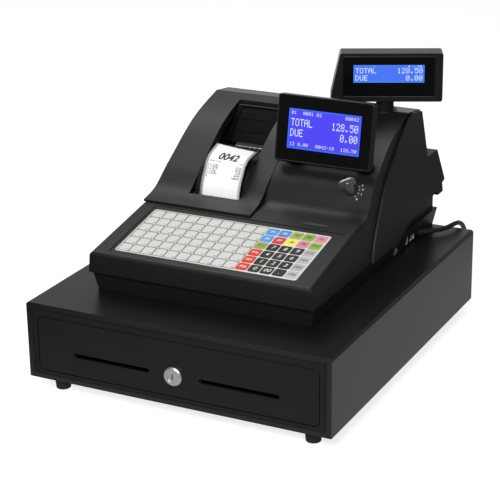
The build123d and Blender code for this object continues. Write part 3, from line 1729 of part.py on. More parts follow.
def relief_room():
    """Space that the boot takes in the base's wall."""
    radius = relief_root_dia / 2 + running_clearance
    along = Cylinder(radius, relief_length, align=(Align.CENTER, Align.CENTER, Align.MIN))
    room = rod("x", (relief_y, relief_level), radius, base_half_width - wall - 1, base_half_width)
    return room + Plane(origin=relief_start, z_dir=relief_heading) * along


def strain_relief():
    """Tapered moulded boot where the cord leaves the base."""
    plane = Plane(origin=relief_start, z_dir=relief_heading)
    taper = Cone(
        relief_root_dia / 2, relief_tip_dia / 2, relief_length,
        align=(Align.CENTER, Align.CENTER, Align.MIN),
    )
    boot = plane * taper
    inside = box(-far, base_half_width, -far, far, -far, far + far)
    root = relief_root_dia / 2
    flange = rod("x", (relief_y, relief_level), root, base_half_width - wall, base_half_width)
    boot = boot - inside + flange
    for step in range(3):
        place = relief_length * (0.45 + 0.18 * step)
        groove = Torus(relief_tip_dia / 2 + 1.2, 0.7)
        boot -= plane * groove.moved(Location((0, 0, place)))
    return boot


relief_tip = tuple(relief_start[i] + relief_heading[i] * relief_length for i in range(3))
# Cord route from the boot's tip, over the cabinet's back edge and down to the coil.
cord_points = [
    relief_tip,
    (169.6, 203.6, 124.1),
    (175.8, 216.8, 126.2),
    (179.6, 231.5, 129.3),
    (182.0, 249.0, 128.3),
    (183.2, 265.0, 119.0),
    (183.0, 274.5, 103.0),
    (182.0, 277.5, 81.0),
    (180.5, 275.8, 57.0),
    (176.0, 272.3, 36.5),
    (167.5, 267.2, 20.5),
    (154.5, 261.8, 9.8),
    (138.5, 258.2, 4.3),
    (122.5, 256.7, 3.25),
    (coil_x + coil_edge + coil_stub, coil_front, cord_radius),
]


def cord_radii():
    """Bend radius at each inner point: 0.45 of the shorter run over tan(half the turn)."""
    points = [Vector(*point) for point in cord_points]
    radii = []
    for before, here, after in zip(points, points[1:], points[2:]):
        run_in = here - before
        run_out = after - here
        turn = radians(run_in.get_angle(run_out))
        radii.append(0.45 * min(run_in.length, run_out.length) / tan(turn / 2))
    return radii


def cord_path():
    """Straight runs joined by tangent arcs."""
    return FilletPolyline(*cord_points, radius=cord_radii())


def power_cord():
    """Mains cord from the boot to the coil."""
    path = cord_path()
    section = Plane(origin=path @ 0, z_dir=path % 0) * Circle(cord_radius)
    return sweep(section, path=path)


def cord_coil():
    """Closed outer shape of the coiled length, with a stub at each end."""
    outline = RectangleRounded(coil_width, coil_height, cord_radius)
    section = Plane.XZ * Location((coil_radius, coil_height / 2)) * outline
    ring = revolve(section, Axis.Z).moved(Location((coil_x, coil_y, 0)))
    ring += rod("x", (coil_front, cord_radius), cord_radius, coil_x, coil_x + coil_edge + coil_stub)
    return ring + rod("x", (coil_front, plug_level), cord_radius, coil_x - coil_edge - coil_stub, coil_x)


plug_end = coil_x - coil_edge - coil_stub


def power_plug():
    """Moulded plug with two flat blades and a round earth pin, heading -X."""
    neck = Cone(
        cord_radius + 0.6, relief_root_dia / 2, plug_neck, align=(Align.CENTER, Align.CENTER, Align.MIN),
    ).rotate(Axis.Y, -90).moved(Location((plug_end, coil_front, plug_level)))
    back = plug_end - plug_neck
    body = box(
        back - plug_length, back + 2, coil_front - plug_width / 2, coil_front + plug_width / 2,
        plug_level - plug_height / 2, plug_level + plug_height / 2,
    )
    body = fillet(edges_along(body, Axis.X), plug_corner)
    face = back - plug_length
    plug = neck + chamfer(body.faces().sort_by(Axis.X)[-1].edges(), plug_bevel)
    for sign in (-1, 1):
        y = coil_front + sign * blade_spacing / 2
        plug += box(
            face - blade_length, face + 1, y - blade_thickness / 2, y + blade_thickness / 2,
            plug_level + blade_rise - blade_height / 2, plug_level + blade_rise + blade_height / 2,
        )
    centre = (coil_front, plug_level - earth_pin_drop)
    plug += rod("x", centre, earth_pin_dia / 2, face - earth_pin_length, face + 1)
    return plug


# ================================================================ written sub-parts
save("cabinet_shell", cabinet_shell())
save("cabinet_floor", cabinet_floor())
save("front_frame", front_frame())
save("rubber_feet", rubber_feet())
save("cabinet_rails", group(cabinet_rail(), mirrored(cabinet_rail())))
save("drawer_runners", group(drawer_runner(), mirrored(drawer_runner())))
save("drawer_tray", drawer_tray())
save("drawer_front", drawer_front())
save("lock_ring", lock_ring())
save("lock_barrel", lock_barrel())
save("lock_cam", lock_cam())
save("latch_bracket", latch_bracket())
save("latch_hook", latch_hook())
save("till_insert", till_insert())
save("clip_rod", clip_rod())
for bay in range(bill_count):
    save("bill_clip_" + str(bay + 1), bill_clip(bay))

save("base_case", base_case())
save("fasteners", group(foot_screws(), case_screws()))
save("port_connectors", port_connectors())
save("circuit_boards", group(main_board(), keyboard_board()))
save("power_supply", power_supply())
save("keyboard_housing", keyboard_housing())
save("key_overlay", key_overlay())
save("upper_case", upper_case())
save("lower_panel", lower_panel())
save("upper_panel", upper_panel())
save("mode_lock_bezel", mode_lock_bezel())
save("mode_lock_barrel", mode_lock_barrel())
save("mode_key", mode_key())

save("printer_cover", printer_cover())
save("cover_hinge_pin", cover_pin())
save("tear_bar", tear_bar())
save("paper_lid", paper_lid())
save("printer_frame", printer_frame())
save("platen_roller", platen_roller())
save("platen_gear", platen_gear())
save("feed_motor", feed_motor())
save("motor_pinion", motor_pinion())
save("print_head", print_head())
save("paper_roll", paper_roll())
save("receipt_paper", receipt_paper())

save("screen_bracket", screen_bracket())
save("screen_pivot_pin", screen_pivot_pin())
save("screen_back", screen_back())
save("screen_front", screen_front())
save("screen_glass", screen_glass())
save("screen_lcd", screen_lcd())
save("turret_socket", turret_socket())
save("turret_pole", turret_pole())
save("turret_back", turret_back())
save("turret_front", turret_front_frame())
save("turret_glass", turret_glass())
save("turret_lcd", turret_lcd())

save("strain_relief", strain_relief())
save("power_cord", power_cord())
save("cord_coil", cord_coil())
save("power_plug", power_plug())

print("cord radii", [round(radius, 1) for radius in cord_radii()])
print("cord tube length", round(cord_path().length, 1))
print("cord tube volume over section", round(power_cord().volume / (pi * cord_radius ** 2), 1))
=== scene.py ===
import json
import math

import bmesh
import bpy
from mathutils import Matrix, Vector
from mathutils.bvhtree import BVHTree


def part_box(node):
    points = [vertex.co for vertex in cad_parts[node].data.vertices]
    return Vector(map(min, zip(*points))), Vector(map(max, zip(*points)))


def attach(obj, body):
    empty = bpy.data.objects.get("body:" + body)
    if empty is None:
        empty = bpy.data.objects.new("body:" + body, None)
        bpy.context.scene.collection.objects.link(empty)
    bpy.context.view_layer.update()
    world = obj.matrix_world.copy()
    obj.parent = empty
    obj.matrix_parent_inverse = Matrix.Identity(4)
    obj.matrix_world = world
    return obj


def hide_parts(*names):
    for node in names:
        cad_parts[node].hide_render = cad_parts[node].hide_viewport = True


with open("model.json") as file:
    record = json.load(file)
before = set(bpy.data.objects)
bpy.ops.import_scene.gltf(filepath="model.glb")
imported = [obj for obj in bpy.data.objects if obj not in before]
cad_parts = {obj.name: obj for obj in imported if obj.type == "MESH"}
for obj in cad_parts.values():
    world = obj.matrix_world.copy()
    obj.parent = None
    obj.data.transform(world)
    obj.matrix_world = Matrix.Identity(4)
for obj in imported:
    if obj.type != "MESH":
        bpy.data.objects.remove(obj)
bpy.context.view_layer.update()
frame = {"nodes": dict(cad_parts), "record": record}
nodes = frame["nodes"]
mm = 0.001


def report(stage):
    print("stage:", stage)


def addObject(name, data):
    piece = bpy.data.objects.new(name, data)
    bpy.context.scene.collection.objects.link(piece)
    return piece


# camera

cameraSetup = {
    "place": (0.9040, -1.8139, 0.8966),  # metres
    "azimuth": 27.0,  # degrees round from the front, towards the right side
    "elevation": 20.6,
    "roll": -0.8,
    "lens": 120.75,  # mm
    "sensor": 36.0,  # mm
    "reach": 50.0,  # metres
}


def makeCamera():
    azimuth = math.radians(cameraSetup["azimuth"])
    elevation = math.radians(cameraSetup["elevation"])
    roll = math.radians(cameraSetup["roll"])
    back = Vector((math.sin(azimuth) * math.cos(elevation), -math.cos(azimuth) * math.cos(elevation),
                   math.sin(elevation)))
    level = Vector((math.cos(azimuth), math.sin(azimuth), 0))
    up = back.cross(level)
    right = math.cos(roll) * level + math.sin(roll) * up
    top = -math.sin(roll) * level + math.cos(roll) * up
    data = bpy.data.cameras.new("studioCamera")
    data.lens = cameraSetup["lens"]
    data.sensor_width = cameraSetup["sensor"]
    data.clip_end = cameraSetup["reach"]
    camera = addObject("studioCamera", data)
    turn = Matrix((right, top, back)).transposed().to_4x4()
    camera.matrix_world = Matrix.Translation(Vector(cameraSetup["place"])) @ turn
    bpy.context.scene.camera = camera


makeCamera()
report("camera")

# materials


def hexLinear(code):
    parts = [int(code[i:i + 2], 16) / 255 for i in (1, 3, 5)]
    return [c / 12.92 if c <= 0.04045 else ((c + 0.055) / 1.055) ** 2.4 for c in parts] + [1.0]


def socketOf(source):
    # a node stands for its first output
    return source.outputs[0] if isinstance(source, bpy.types.Node) else source


def addNode(tree, kind, settings=None, links=None):
    node = tree.nodes.new(kind)
    for key, value in (settings or {}).items():
        if isinstance(key, int) or key in node.inputs:
            node.inputs[key].default_value = value
        else:
            setattr(node, key, value)
    for key, source in (links or {}).items():
        tree.links.new(socketOf(source), node.inputs[key])
    return node


def emptyTree(holder):
    holder.use_nodes = True
    holder.node_tree.nodes.clear()
    return holder.node_tree


def newMaterial(name):
    material = bpy.data.materials.new(name)
    tree = emptyTree(material)
    shader = addNode(tree, "ShaderNodeBsdfPrincipled")
    addNode(tree, "ShaderNodeOutputMaterial", None, {"Surface": shader})
    return material, tree, shader


shaderWords = {
    "colour": "Base Color", "rough": "Roughness", "metal": "Metallic", "coat": "Coat Weight", "ior": "IOR",
    "specular": "Specular IOR Level", "glow": "Emission Color", "power": "Emission Strength",
    "normal": "Normal",
}


def setShader(shader, **values):
    # a number, a colour as a hex code, or the node or socket that feeds the input
    for key, value in values.items():
        socket = shader.inputs[shaderWords[key]]
        if isinstance(value, (bpy.types.Node, bpy.types.NodeSocket)):
            shader.id_data.links.new(socketOf(value), socket)
        else:
            socket.default_value = hexLinear(value) if isinstance(value, str) else value


def mottle(tree, shader, dark, light, rough, tone, shine):
    # the colour follows the tone, the roughness follows the shine
    colour = addNode(tree, "ShaderNodeMix", {"data_type": "RGBA", 6: hexLinear(dark), 7: hexLinear(light)},
                     {0: tone})
    gloss = addNode(tree, "ShaderNodeMapRange", {"To Min": rough[0], "To Max": rough[1]}, {"Value": shine})
    setShader(shader, colour=colour.outputs[2], rough=gloss)


grainSetup = {
    "patchShare": 0.35,  # weight of the wide patches against the grain
    "tone": (0.42, 0.95),  # noise at the dark and the light colour
    "edge": 0.6,  # mm, because mouldings have no knife edges
    "height": 0.2,  # mm
}


def grainMaterial(name, dark, light, grain, patch, rough, bump, **values):
    # a moulded or coated surface: fine grain in mm as bump, wide faint patches in mm as colour and gloss
    material, tree, shader = newMaterial(name)
    setShader(shader, **values)
    place = addNode(tree, "ShaderNodeTexCoord").outputs["Object"]
    fine = addNode(tree, "ShaderNodeTexNoise", {"Scale": 1 / (grain * mm), "Detail": 3.0, "Roughness": 0.6},
                   {"Vector": place})
    wide = addNode(tree, "ShaderNodeTexNoise", {"Scale": 1 / (patch * mm), "Detail": 2.0},
                   {"Vector": place})
    both = addNode(tree, "ShaderNodeMath", {"operation": "MULTIPLY_ADD", 1: grainSetup["patchShare"]},
                   {0: wide, 2: fine})
    darkAt, lightAt = grainSetup["tone"]
    tone = addNode(tree, "ShaderNodeMapRange", {"From Min": darkAt, "From Max": lightAt}, {"Value": both})
    mottle(tree, shader, dark, light, rough, tone, both)
    edge = addNode(tree, "ShaderNodeBevel", {"samples": 6, "Radius": grainSetup["edge"] * mm})
    relief = addNode(tree, "ShaderNodeBump", {"Strength": bump, "Distance": grainSetup["height"] * mm},
                     {"Height": fine, "Normal": edge})
    setShader(shader, normal=relief)
    return material


# black powder coat on steel: a fine orange peel that breaks up the gloss
powderCoat = grainMaterial("powderCoatedSteel", "#0e0e0e", "#151514", 1.1, 60, (0.25, 0.33), 0.15,
                           specular=0.5)
# spark-textured ABS: even satin with a fine leathery grain
texturedAbs = grainMaterial("sparkTexturedAbs", "#111111", "#171716", 0.9, 45, (0.38, 0.5), 0.22,
                            specular=0.37)
# finer textured ABS of the drawer's front and frame: the dullest of the outer mouldings
drawerAbs = grainMaterial("fineTexturedAbs", "#101011", "#161617", 0.8, 40, (0.42, 0.55), 0.2, specular=0.25)
# plain moulded ABS of the displays: smoother and darker, with soft highlights
smoothAbs = grainMaterial("mouldedAbs", "#0f0f10", "#151516", 0.8, 30, (0.32, 0.42), 0.05, specular=0.4)
# inner mouldings in the printer well: dull grey-black ABS
innerAbs = grainMaterial("dullMouldedAbs", "#0a0a0a", "#101010", 0.9, 25, (0.45, 0.6), 0.1, specular=0.3)
# natural rubber: matt with a faint bloom
footRubber = grainMaterial("mouldedRubber", "#101010", "#181817", 1.3, 12, (0.7, 0.85), 0.3)
# high-impact polystyrene of the till insert: satin, a little greyer than the casing
tillStyrene = grainMaterial("mouldedPolystyrene", "#161617", "#1f1f20", 0.8, 50, (0.38, 0.55), 0.2)
# moulded nylon of the socket bodies: pale, with a soft waxy gloss
mouldedNylon = grainMaterial("mouldedNylon", "#b9bab8", "#cfcfcc", 0.8, 15, (0.3, 0.42), 0.1)
# stove enamel of the tray: satin grey with a slight orange peel
trayEnamel = grainMaterial("stoveEnamel", "#4a4b4c", "#565757", 1.2, 60, (0.35, 0.5), 0.2)
# flexible PVC sheath: soft satin black
cordPvc = grainMaterial("flexiblePvc", "#141414", "#1b1b1b", 1.0, 20, (0.35, 0.5), 0.15)
# solder mask over copper: glossy green with an uneven ground
solderMask = grainMaterial("solderMask", "#0b3a1c", "#14502a", 2.2, 18, (0.25, 0.4), 0.1, coat=0.4)
# thermal paper: smooth and bluish white
thermalPaper = grainMaterial("thermalPaper", "#eceef2", "#f7f8fa", 0.9, 20, (0.5, 0.6), 0.08)
# polyester film printed grey and white from behind: even, hardly any texture
gridFilm = grainMaterial("printedGridFilm", "#858583", "#91918e", 1.4, 30, (0.4, 0.5), 0.05, specular=0.2)
whiteFilm = grainMaterial("printedWhiteFilm", "#d4d4d1", "#dcdcd9", 1.4, 30, (0.4, 0.5), 0.05, specular=0.2)

streakSetup = {"bump": 0.08, "height": 0.1}  # strength, mm


def metalMaterial(name, dark, light, rough, streak):
    # drawn or plated metal: streaks, in mm along each axis, vary the gloss
    material, tree, shader = newMaterial(name)
    setShader(shader, metal=1.0)
    place = addNode(tree, "ShaderNodeTexCoord").outputs["Object"]
    turn = addNode(tree, "ShaderNodeMapping", {"Scale": [1 / (size * mm) for size in streak]},
                   {"Vector": place})
    line = addNode(tree, "ShaderNodeTexNoise", {"Scale": 1.0, "Detail": 4.0}, {"Vector": turn})
    mottle(tree, shader, dark, light, rough, line, line)
    relief = addNode(tree, "ShaderNodeBump",
                     {"Strength": streakSetup["bump"], "Distance": streakSetup["height"] * mm},
                     {"Height": line})
    setShader(shader, normal=relief)
    return material


# zinc plate on drawn steel: dull silver, streaked along its length
zincPlate = metalMaterial("zincPlatedSteel", "#a3a5a2", "#c3c5c4", (0.28, 0.5), (1.111, 16.67, 1.111))
# nickel plate on turned brass: pale and even, a broad soft shine
nickelPlate = metalMaterial("nickelPlatedBrass", "#cfceca", "#eeedeb", (0.34, 0.48), (1.4286, 1.4286, 1.4286))
# cast aluminium: grey and slightly mottled
castAluminium = metalMaterial("castAluminium", "#8d8f91", "#a9abad", (0.4, 0.6), (2.0, 2.0, 2.0))
# punched stainless strip: the sharpest shine of the metals
toothedSteel = metalMaterial("stainlessSteel", "#8e8f8f", "#b2b3b3", (0.2, 0.35), (1.111, 10.0, 1.111))


def plainMaterial(name, **values):
    material, tree, shader = newMaterial(name)
    setShader(shader, **values)
    return material


# printed inks and lit dots: flat colours without texture; the black ink also paints the shade in the screws'
# cross recesses
whiteInk = plainMaterial("whitePadPrint", colour="#e8e8e6", rough=0.45)
blackInkAndRecessShade = plainMaterial("thermalPrintAndRecessShade", colour="#1a1a1c", rough=0.6)
greyInk = plainMaterial("greyScreenPrint", colour="#6d6d6c", rough=0.5)
dotGlow = plainMaterial("litDots", colour="#101010", glow="#dcefff", power=1.0)

# wipe: spacing of the marks in mm
windowSetup = {"ink": "#0b0b0c", "specular": 0.16, "ior": 1.49, "wipe": 22.0, "rough": (0.1, 0.24)}


def windowMaterial():
    # acrylic printed black from behind: deep even black under a hard gloss with faint wipe marks
    material, tree, shader = newMaterial("backPrintedAcrylic")
    setShader(shader, colour=windowSetup["ink"], specular=windowSetup["specular"], ior=windowSetup["ior"])
    place = addNode(tree, "ShaderNodeTexCoord").outputs["Object"]
    wipe = addNode(tree, "ShaderNodeTexNoise",
                   {"Scale": 1 / (windowSetup["wipe"] * mm), "Detail": 3.0, "Distortion": 1.2},
                   {"Vector": place})
    low, high = windowSetup["rough"]
    gloss = addNode(tree, "ShaderNodeMapRange", {"To Min": low, "To Max": high}, {"Value": wipe})
    setShader(shader, rough=gloss)
    return material


windowAcrylic = windowMaterial()

filmSetup = {"rough": 0.42, "specular": 0.2, "ripple": 6.0, "bump": 0.06, "height": 0.3}  # sizes in mm


def keyFilmMaterial():
    # polyester film printed from behind: flat ink under a soft gloss, rippled a little by the domes
    material, tree, shader = newMaterial("printedPolyester")
    setShader(shader, rough=filmSetup["rough"], specular=filmSetup["specular"])
    ink = addNode(tree, "ShaderNodeAttribute", {"attribute_name": "ink"})
    place = addNode(tree, "ShaderNodeTexCoord").outputs["Object"]
    ripple = addNode(tree, "ShaderNodeTexNoise", {"Scale": 1 / (filmSetup["ripple"] * mm), "Detail": 1.0},
                     {"Vector": place})
    relief = addNode(tree, "ShaderNodeBump",
                     {"Strength": filmSetup["bump"], "Distance": filmSetup["height"] * mm},
                     {"Height": ripple})
    setShader(shader, colour=ink, normal=relief)
    return material


keyFilm = keyFilmMaterial()
report("materials")

# pieces that the solids already shape: finish only

finishes = [
    (powderCoat, ["cabinet_shell", "cabinet_floor"]),
    (drawerAbs, ["front_frame", "drawer_front"]),
    (footRubber, ["rubber_feet", "platen_roller"]),
    (zincPlate, ["cabinet_rails", "drawer_runners", "latch_bracket", "latch_hook", "fasteners", "clip_rod",
                 "cover_hinge_pin", "screen_pivot_pin", "lock_cam", "power_supply"]),
    (nickelPlate, ["lock_ring", "lock_barrel", "mode_key"]),
    (mouldedNylon, ["port_connectors"]),
    (toothedSteel, ["tear_bar"]),
    (trayEnamel, ["drawer_tray"]),
    (tillStyrene, ["till_insert", "bill_clip_1", "bill_clip_2", "bill_clip_3", "bill_clip_4"]),
    (texturedAbs, ["base_case", "keyboard_housing", "upper_case", "lower_panel", "upper_panel",
                   "printer_cover", "turret_socket"]),
    (smoothAbs, ["screen_back", "screen_bracket", "screen_front", "screen_lcd", "turret_front", "turret_back",
                 "turret_pole", "turret_lcd", "mode_lock_bezel", "mode_lock_barrel"]),
    (innerAbs, ["printer_frame", "platen_gear", "motor_pinion"]),
    (solderMask, ["circuit_boards"]),
    (castAluminium, ["feed_motor", "print_head"]),
    (thermalPaper, ["paper_roll", "receipt_paper"]),
    (windowAcrylic, ["screen_glass", "turret_glass", "paper_lid"]),
    (cordPvc, ["strain_relief", "power_plug"]),
    (whiteFilm, ["key_overlay"]),
]

for material, names in finishes:
    for name in names:
        mesh = nodes[name].data
        mesh.materials.clear()
        mesh.materials.append(material)
report("finishes")

# small helpers for pieces


def keep(name, mesh, material, body="root"):
    piece = addObject(name, mesh)
    mesh.name = name
    mesh.materials.clear()
    mesh.materials.append(material)
    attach(piece, body)
    return piece


def plainMesh(piece):
    # the piece's final shape as a mesh of its own; the piece itself goes
    graph = bpy.context.evaluated_depsgraph_get()
    mesh = bpy.data.meshes.new_from_object(piece.evaluated_get(graph))
    bpy.data.objects.remove(piece)
    return mesh


def meshFrom(shape):
    mesh = bpy.data.meshes.new("shape")
    shape.to_mesh(mesh)
    shape.free()
    return mesh


def squareShape(half, level=0.0):
    shape = bmesh.new()
    bmesh.ops.create_grid(shape, x_segments=1, y_segments=1, size=half)
    bmesh.ops.translate(shape, verts=shape.verts, vec=(0, 0, level))
    return shape


def sheetMesh(rows):
    # a sheet through rows of points
    shape = bmesh.new()
    grid = [[shape.verts.new(point) for point in row] for row in rows]
    for low, high in zip(grid, grid[1:]):
        for c in range(len(low) - 1):
            shape.faces.new((low[c], low[c + 1], high[c + 1], high[c]))
    return meshFrom(shape)


def facesMesh(outlines):
    # one flat face for each outline's points
    shape = bmesh.new()
    for outline in outlines:
        shape.faces.new([shape.verts.new(point) for point in outline])
    return meshFrom(shape)


def addWall(piece, thickness):
    # thickness in mm, behind the drawn face
    wall = piece.modifiers.new("wall", "SOLIDIFY")
    wall.thickness = thickness * mm
    wall.offset = -1.0


def joined(parts):
    # one mesh from (mesh, place) pairs
    whole = bmesh.new()
    for mesh, place in parts:
        mesh.transform(place)
        whole.from_mesh(mesh)
        bpy.data.meshes.remove(mesh)
    return meshFrom(whole)


def middleOf(name):
    low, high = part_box(name)
    return (low + high) / 2


def faceFrame(origin, right, out):
    # local X to the right, Y up the face, Z out of it
    right = Vector(right).normalized()
    out = Vector(out).normalized()
    turn = Matrix((right, out.cross(right), out)).transposed().to_4x4()
    return Matrix.Translation(origin) @ turn


def layOn(mesh, node, place, reach=20.0):
    # lays a mesh made flat in place's frame on the node's surface; a point keeps its height as its lift
    source = nodes[node].data
    tree = BVHTree.FromPolygons([v.co for v in source.vertices], [p.vertices for p in source.polygons])
    out = place.to_3x3() @ Vector((0, 0, 1))
    for vertex in mesh.vertices:
        x, y, height = vertex.co
        start = place @ Vector((x, y, 0))
        hit = tree.ray_cast(start + out * reach * mm, -out)
        vertex.co = (hit[0] if hit[0] is not None else start) + out * height


def beadLoop(name, size, corner, radius, place, material, body="root"):
    # a round bead along a rounded rectangle, in mm about place's origin
    cornerSteps = 4
    points = []
    for turn, (signX, signY) in enumerate(((1, 1), (-1, 1), (-1, -1), (1, -1))):
        for step in range(cornerSteps + 1):
            angle = math.pi / 2 * (turn + step / cornerSteps)
            points.append((signX * (size[0] / 2 - corner) + corner * math.cos(angle),
                           signY * (size[1] / 2 - corner) + corner * math.sin(angle)))
    data = bpy.data.curves.new(name, "CURVE")
    data.dimensions = "3D"
    spline = data.splines.new("POLY")
    spline.points.add(len(points) - 1)
    for spot, (x, y) in zip(spline.points, points):
        spot.co = (x * mm, y * mm, 0, 1)
    spline.use_cyclic_u = True
    data.bevel_depth = radius * mm
    data.bevel_resolution = 2
    mesh = bpy.data.meshes.new_from_object(bpy.data.objects.new(name, data))
    mesh.shade_smooth()
    mesh.transform(place)
    keep(name, mesh, material, body)


digitShare = 0.68  # a digit's height as a share of the font's size


def writing(text, height, shear=0.0, bold=0.0, align="CENTER"):
    # flat text about the origin; height is a digit's, in mm
    data = bpy.data.curves.new("writing", "FONT")
    data.body = text
    data.align_x = align
    data.align_y = "CENTER"
    data.size = height * mm / digitShare
    data.shear = shear
    data.offset = bold * mm
    data.resolution_u = 3
    return plainMesh(addObject("writing", data))


# node groups that set one shape on each point


def treeStart(name, sizes):
    # takes points, the named sizes and a material
    tree = bpy.data.node_groups.new(name, "GeometryNodeTree")
    inputs = [("Geometry", "Geometry")] + [(size, "Float") for size in sizes] + [("Material", "Material")]
    for word, kind in inputs:
        tree.interface.new_socket(word, in_out="INPUT", socket_type="NodeSocket" + kind)
    tree.interface.new_socket("Geometry", in_out="OUTPUT", socket_type="NodeSocketGeometry")
    return tree, addNode(tree, "NodeGroupInput")


def treeEnd(tree, start, shape, sized=False):
    # sized: each point brings its own scale
    links = {"Points": start.outputs["Geometry"], "Instance": shape}
    if sized:
        size = addNode(tree, "GeometryNodeInputNamedAttribute", {"data_type": "FLOAT_VECTOR", "Name": "size"})
        links["Scale"] = size.outputs["Attribute"]
    spread = addNode(tree, "GeometryNodeInstanceOnPoints", None, links)
    solid = addNode(tree, "GeometryNodeRealizeInstances", None, {"Geometry": spread})
    coat = addNode(tree, "GeometryNodeSetMaterial", None,
                   {"Geometry": solid, "Material": start.outputs["Material"]})
    addNode(tree, "NodeGroupOutput", None, {0: coat})


def pointsAt(name, places, sizes=None):
    points = bpy.data.meshes.new(name)
    points.from_pydata(places, [], [])
    if sizes:
        layer = points.attributes.new("size", "FLOAT_VECTOR", "POINT")
        for item, size in zip(layer.data, sizes):
            item.vector = size
    return points


def runTree(points, tree, **values):
    # sets the named inputs by their identifiers and returns the plain mesh
    piece = addObject(points.name, points)
    modifier = piece.modifiers.new("build", "NODES")
    modifier.node_group = tree
    for socket in tree.interface.items_tree:
        if socket.item_type == "SOCKET" and socket.in_out == "INPUT" and socket.name in values:
            modifier[socket.identifier] = values[socket.name]
    return plainMesh(piece)


# mains cord: first along the route, then round the coil

cordSetup = {
    "exit": (0.16037, 0.18537, 0.1241),
    "route": [
        (0.16037, 0.18537, 0.1241), (0.1696, 0.1946, 0.1241), (0.1752, 0.2076, 0.1245),
        (0.1787, 0.2212, 0.1252), (0.1808, 0.2345, 0.1236), (0.1820, 0.2462, 0.1165),
        (0.1826, 0.2545, 0.1045), (0.1824, 0.2605, 0.0880), (0.1818, 0.2645, 0.0700),
        (0.1800, 0.2655, 0.0530), (0.1755, 0.2630, 0.0360), (0.1675, 0.2582, 0.0205),
        (0.1545, 0.2528, 0.0098), (0.1385, 0.2492, 0.0043), (0.1225, 0.2477, 0.00325),
    ],
    "length": 1.8,
    "diameter": 0.0064,
    "coilMiddle": (0.085, 0.289),
    "coilRadii": (41.4, 35.0, 28.6),  # mm, the three rings of the middle layer
    "stepsPerTurn": 16,
    "crossing": 0.4,  # share of a turn in which the cord steps across to the next
    # off the coil to the plug's neck, from the coil's middle
    "leave": [(-0.012, -0.0389, 0.0155), (-0.018, -0.0412, 0.0105), (-0.0246, -0.0414, 0.00874)],
    "alongSteps": 6,
    "roundSteps": 5,
}


def coilPoints():
    # seven turns: two on the desk, three above them, two on top
    d = cordSetup["diameter"] / mm
    layer = d * math.sin(math.pi / 3)
    low, middle, high = d / 2, d / 2 + layer, d / 2 + 2 * layer
    wide, mean, narrow = cordSetup["coilRadii"]
    plan = [(mean + d / 2, low), (mean - d / 2, low), (narrow, middle), (mean, middle), (wide, middle),
            (mean + d / 2, high), (mean - d / 2, high)]
    cx, cy = cordSetup["coilMiddle"]
    steps, crossing = cordSetup["stepsPerTurn"], cordSetup["crossing"]
    points = []
    for turn, (radius, level) in enumerate(plan):
        nextRadius, nextLevel = plan[min(turn + 1, len(plan) - 1)]
        for index in range(steps):
            share = index / steps
            change = max(0.0, share - (1 - crossing)) / crossing
            r = (radius + (nextRadius - radius) * change) * mm
            z = (level + (nextLevel - level) * change) * mm
            angle = 2 * math.pi * share
            points.append((cx - r * math.sin(angle), cy - r * math.cos(angle), z))
    return points


def cordCurve():
    cx, cy = cordSetup["coilMiddle"]
    points = cordSetup["route"] + coilPoints() + [(cx + x, cy + y, z) for x, y, z in cordSetup["leave"]]
    data = bpy.data.curves.new("powerCord", "CURVE")
    data.dimensions = "3D"
    spline = data.splines.new("NURBS")
    spline.points.add(len(points) - 1)
    for place, point in zip(spline.points, points):
        place.co = (*point, 1)
    spline.order_u = 3
    spline.use_endpoint_u = True
    data.resolution_u = cordSetup["alongSteps"]
    data.bevel_depth = cordSetup["diameter"] / 2
    data.bevel_resolution = cordSetup["roundSteps"]
    data.use_fill_caps = True
    data.materials.append(cordPvc)
    piece = addObject("mainsCord", data)
    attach(piece, "root")
    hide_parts("power_cord", "cord_coil")
    return piece


mainsCord = cordCurve()
report("cord")

# keyboard: film with raised key fields

keySetup = {
    "columns": 15,
    "rows": 6,
    "plainColumns": 10,  # light fields, from the left
    "width": 247.0,  # mm
    "depth": 106.0,
    "sheet": 0.5,
    "border": 2.0,  # white edge round the fields
    "slope": 10.8,  # degrees
    "gap": 1.9,  # grey line between two light fields
    "tightGap": 1.2,  # white line between coloured fields
    "lift": 0.35,  # height of a raised field
    "corner": 3.0,
    "crown": 0.93,  # a field's top as a share of its foot
    "cross": 1.7,  # half of the light mark where two grey lines meet
    "crossLift": 0.3,
    "gridLift": 0.04,
    "gridTrim": 0.6,  # grey ground held back from the outer fields' edges
    "plain": "#d3d3cf",
}
# print of the coloured columns, back row first
keyPrint = [
    ["#5a97dc", "#4f8fd6", "#9db24a", "#8fab45", "#e0909d"],
    ["#5b9ae0", "#d93a26", "#f0ea5c", "#d9879a", "#93ae48"],
    ["#93a74a", "#2a2a2b", "#2a2a2b", "#2a2a2b", "#b4b4b3"],
    ["#d8392a", "#2a2a2b", "#2a2a2b", "#2a2a2b", "#b9b9b8"],
    ["#d63a27", "#2a2a2b", "#2a2a2b", "#2a2a2b", "#b2b2b1"],
    ["#d83a28", "#2a2a2b", "#2a2a2b", "#2a2a2b", "#bababa"],
]
keyDigits = [["7", "8", "9"], ["4", "5", "6"], ["1", "2", "3"], ["0", "00", "."]]
keyPitch = ((keySetup["width"] - 2 * keySetup["border"]) / keySetup["columns"],
            (keySetup["depth"] - 2 * keySetup["border"]) / keySetup["rows"])


def deckFrame():
    slope = math.radians(keySetup["slope"])
    out = Vector((0, -math.sin(slope), math.cos(slope)))
    return faceFrame(middleOf("key_overlay") + out * keySetup["sheet"] / 2 * mm, (1, 0, 0), out)


onDeck = deckFrame()


def keyPlace(column, row):
    return ((column + 0.5 - keySetup["columns"] / 2) * keyPitch[0],
            (keySetup["rows"] / 2 - row - 0.5) * keyPitch[1])


def allFields():
    for row in range(keySetup["rows"]):
        for column in range(keySetup["columns"]):
            yield (row, column, *keyPlace(column, row))


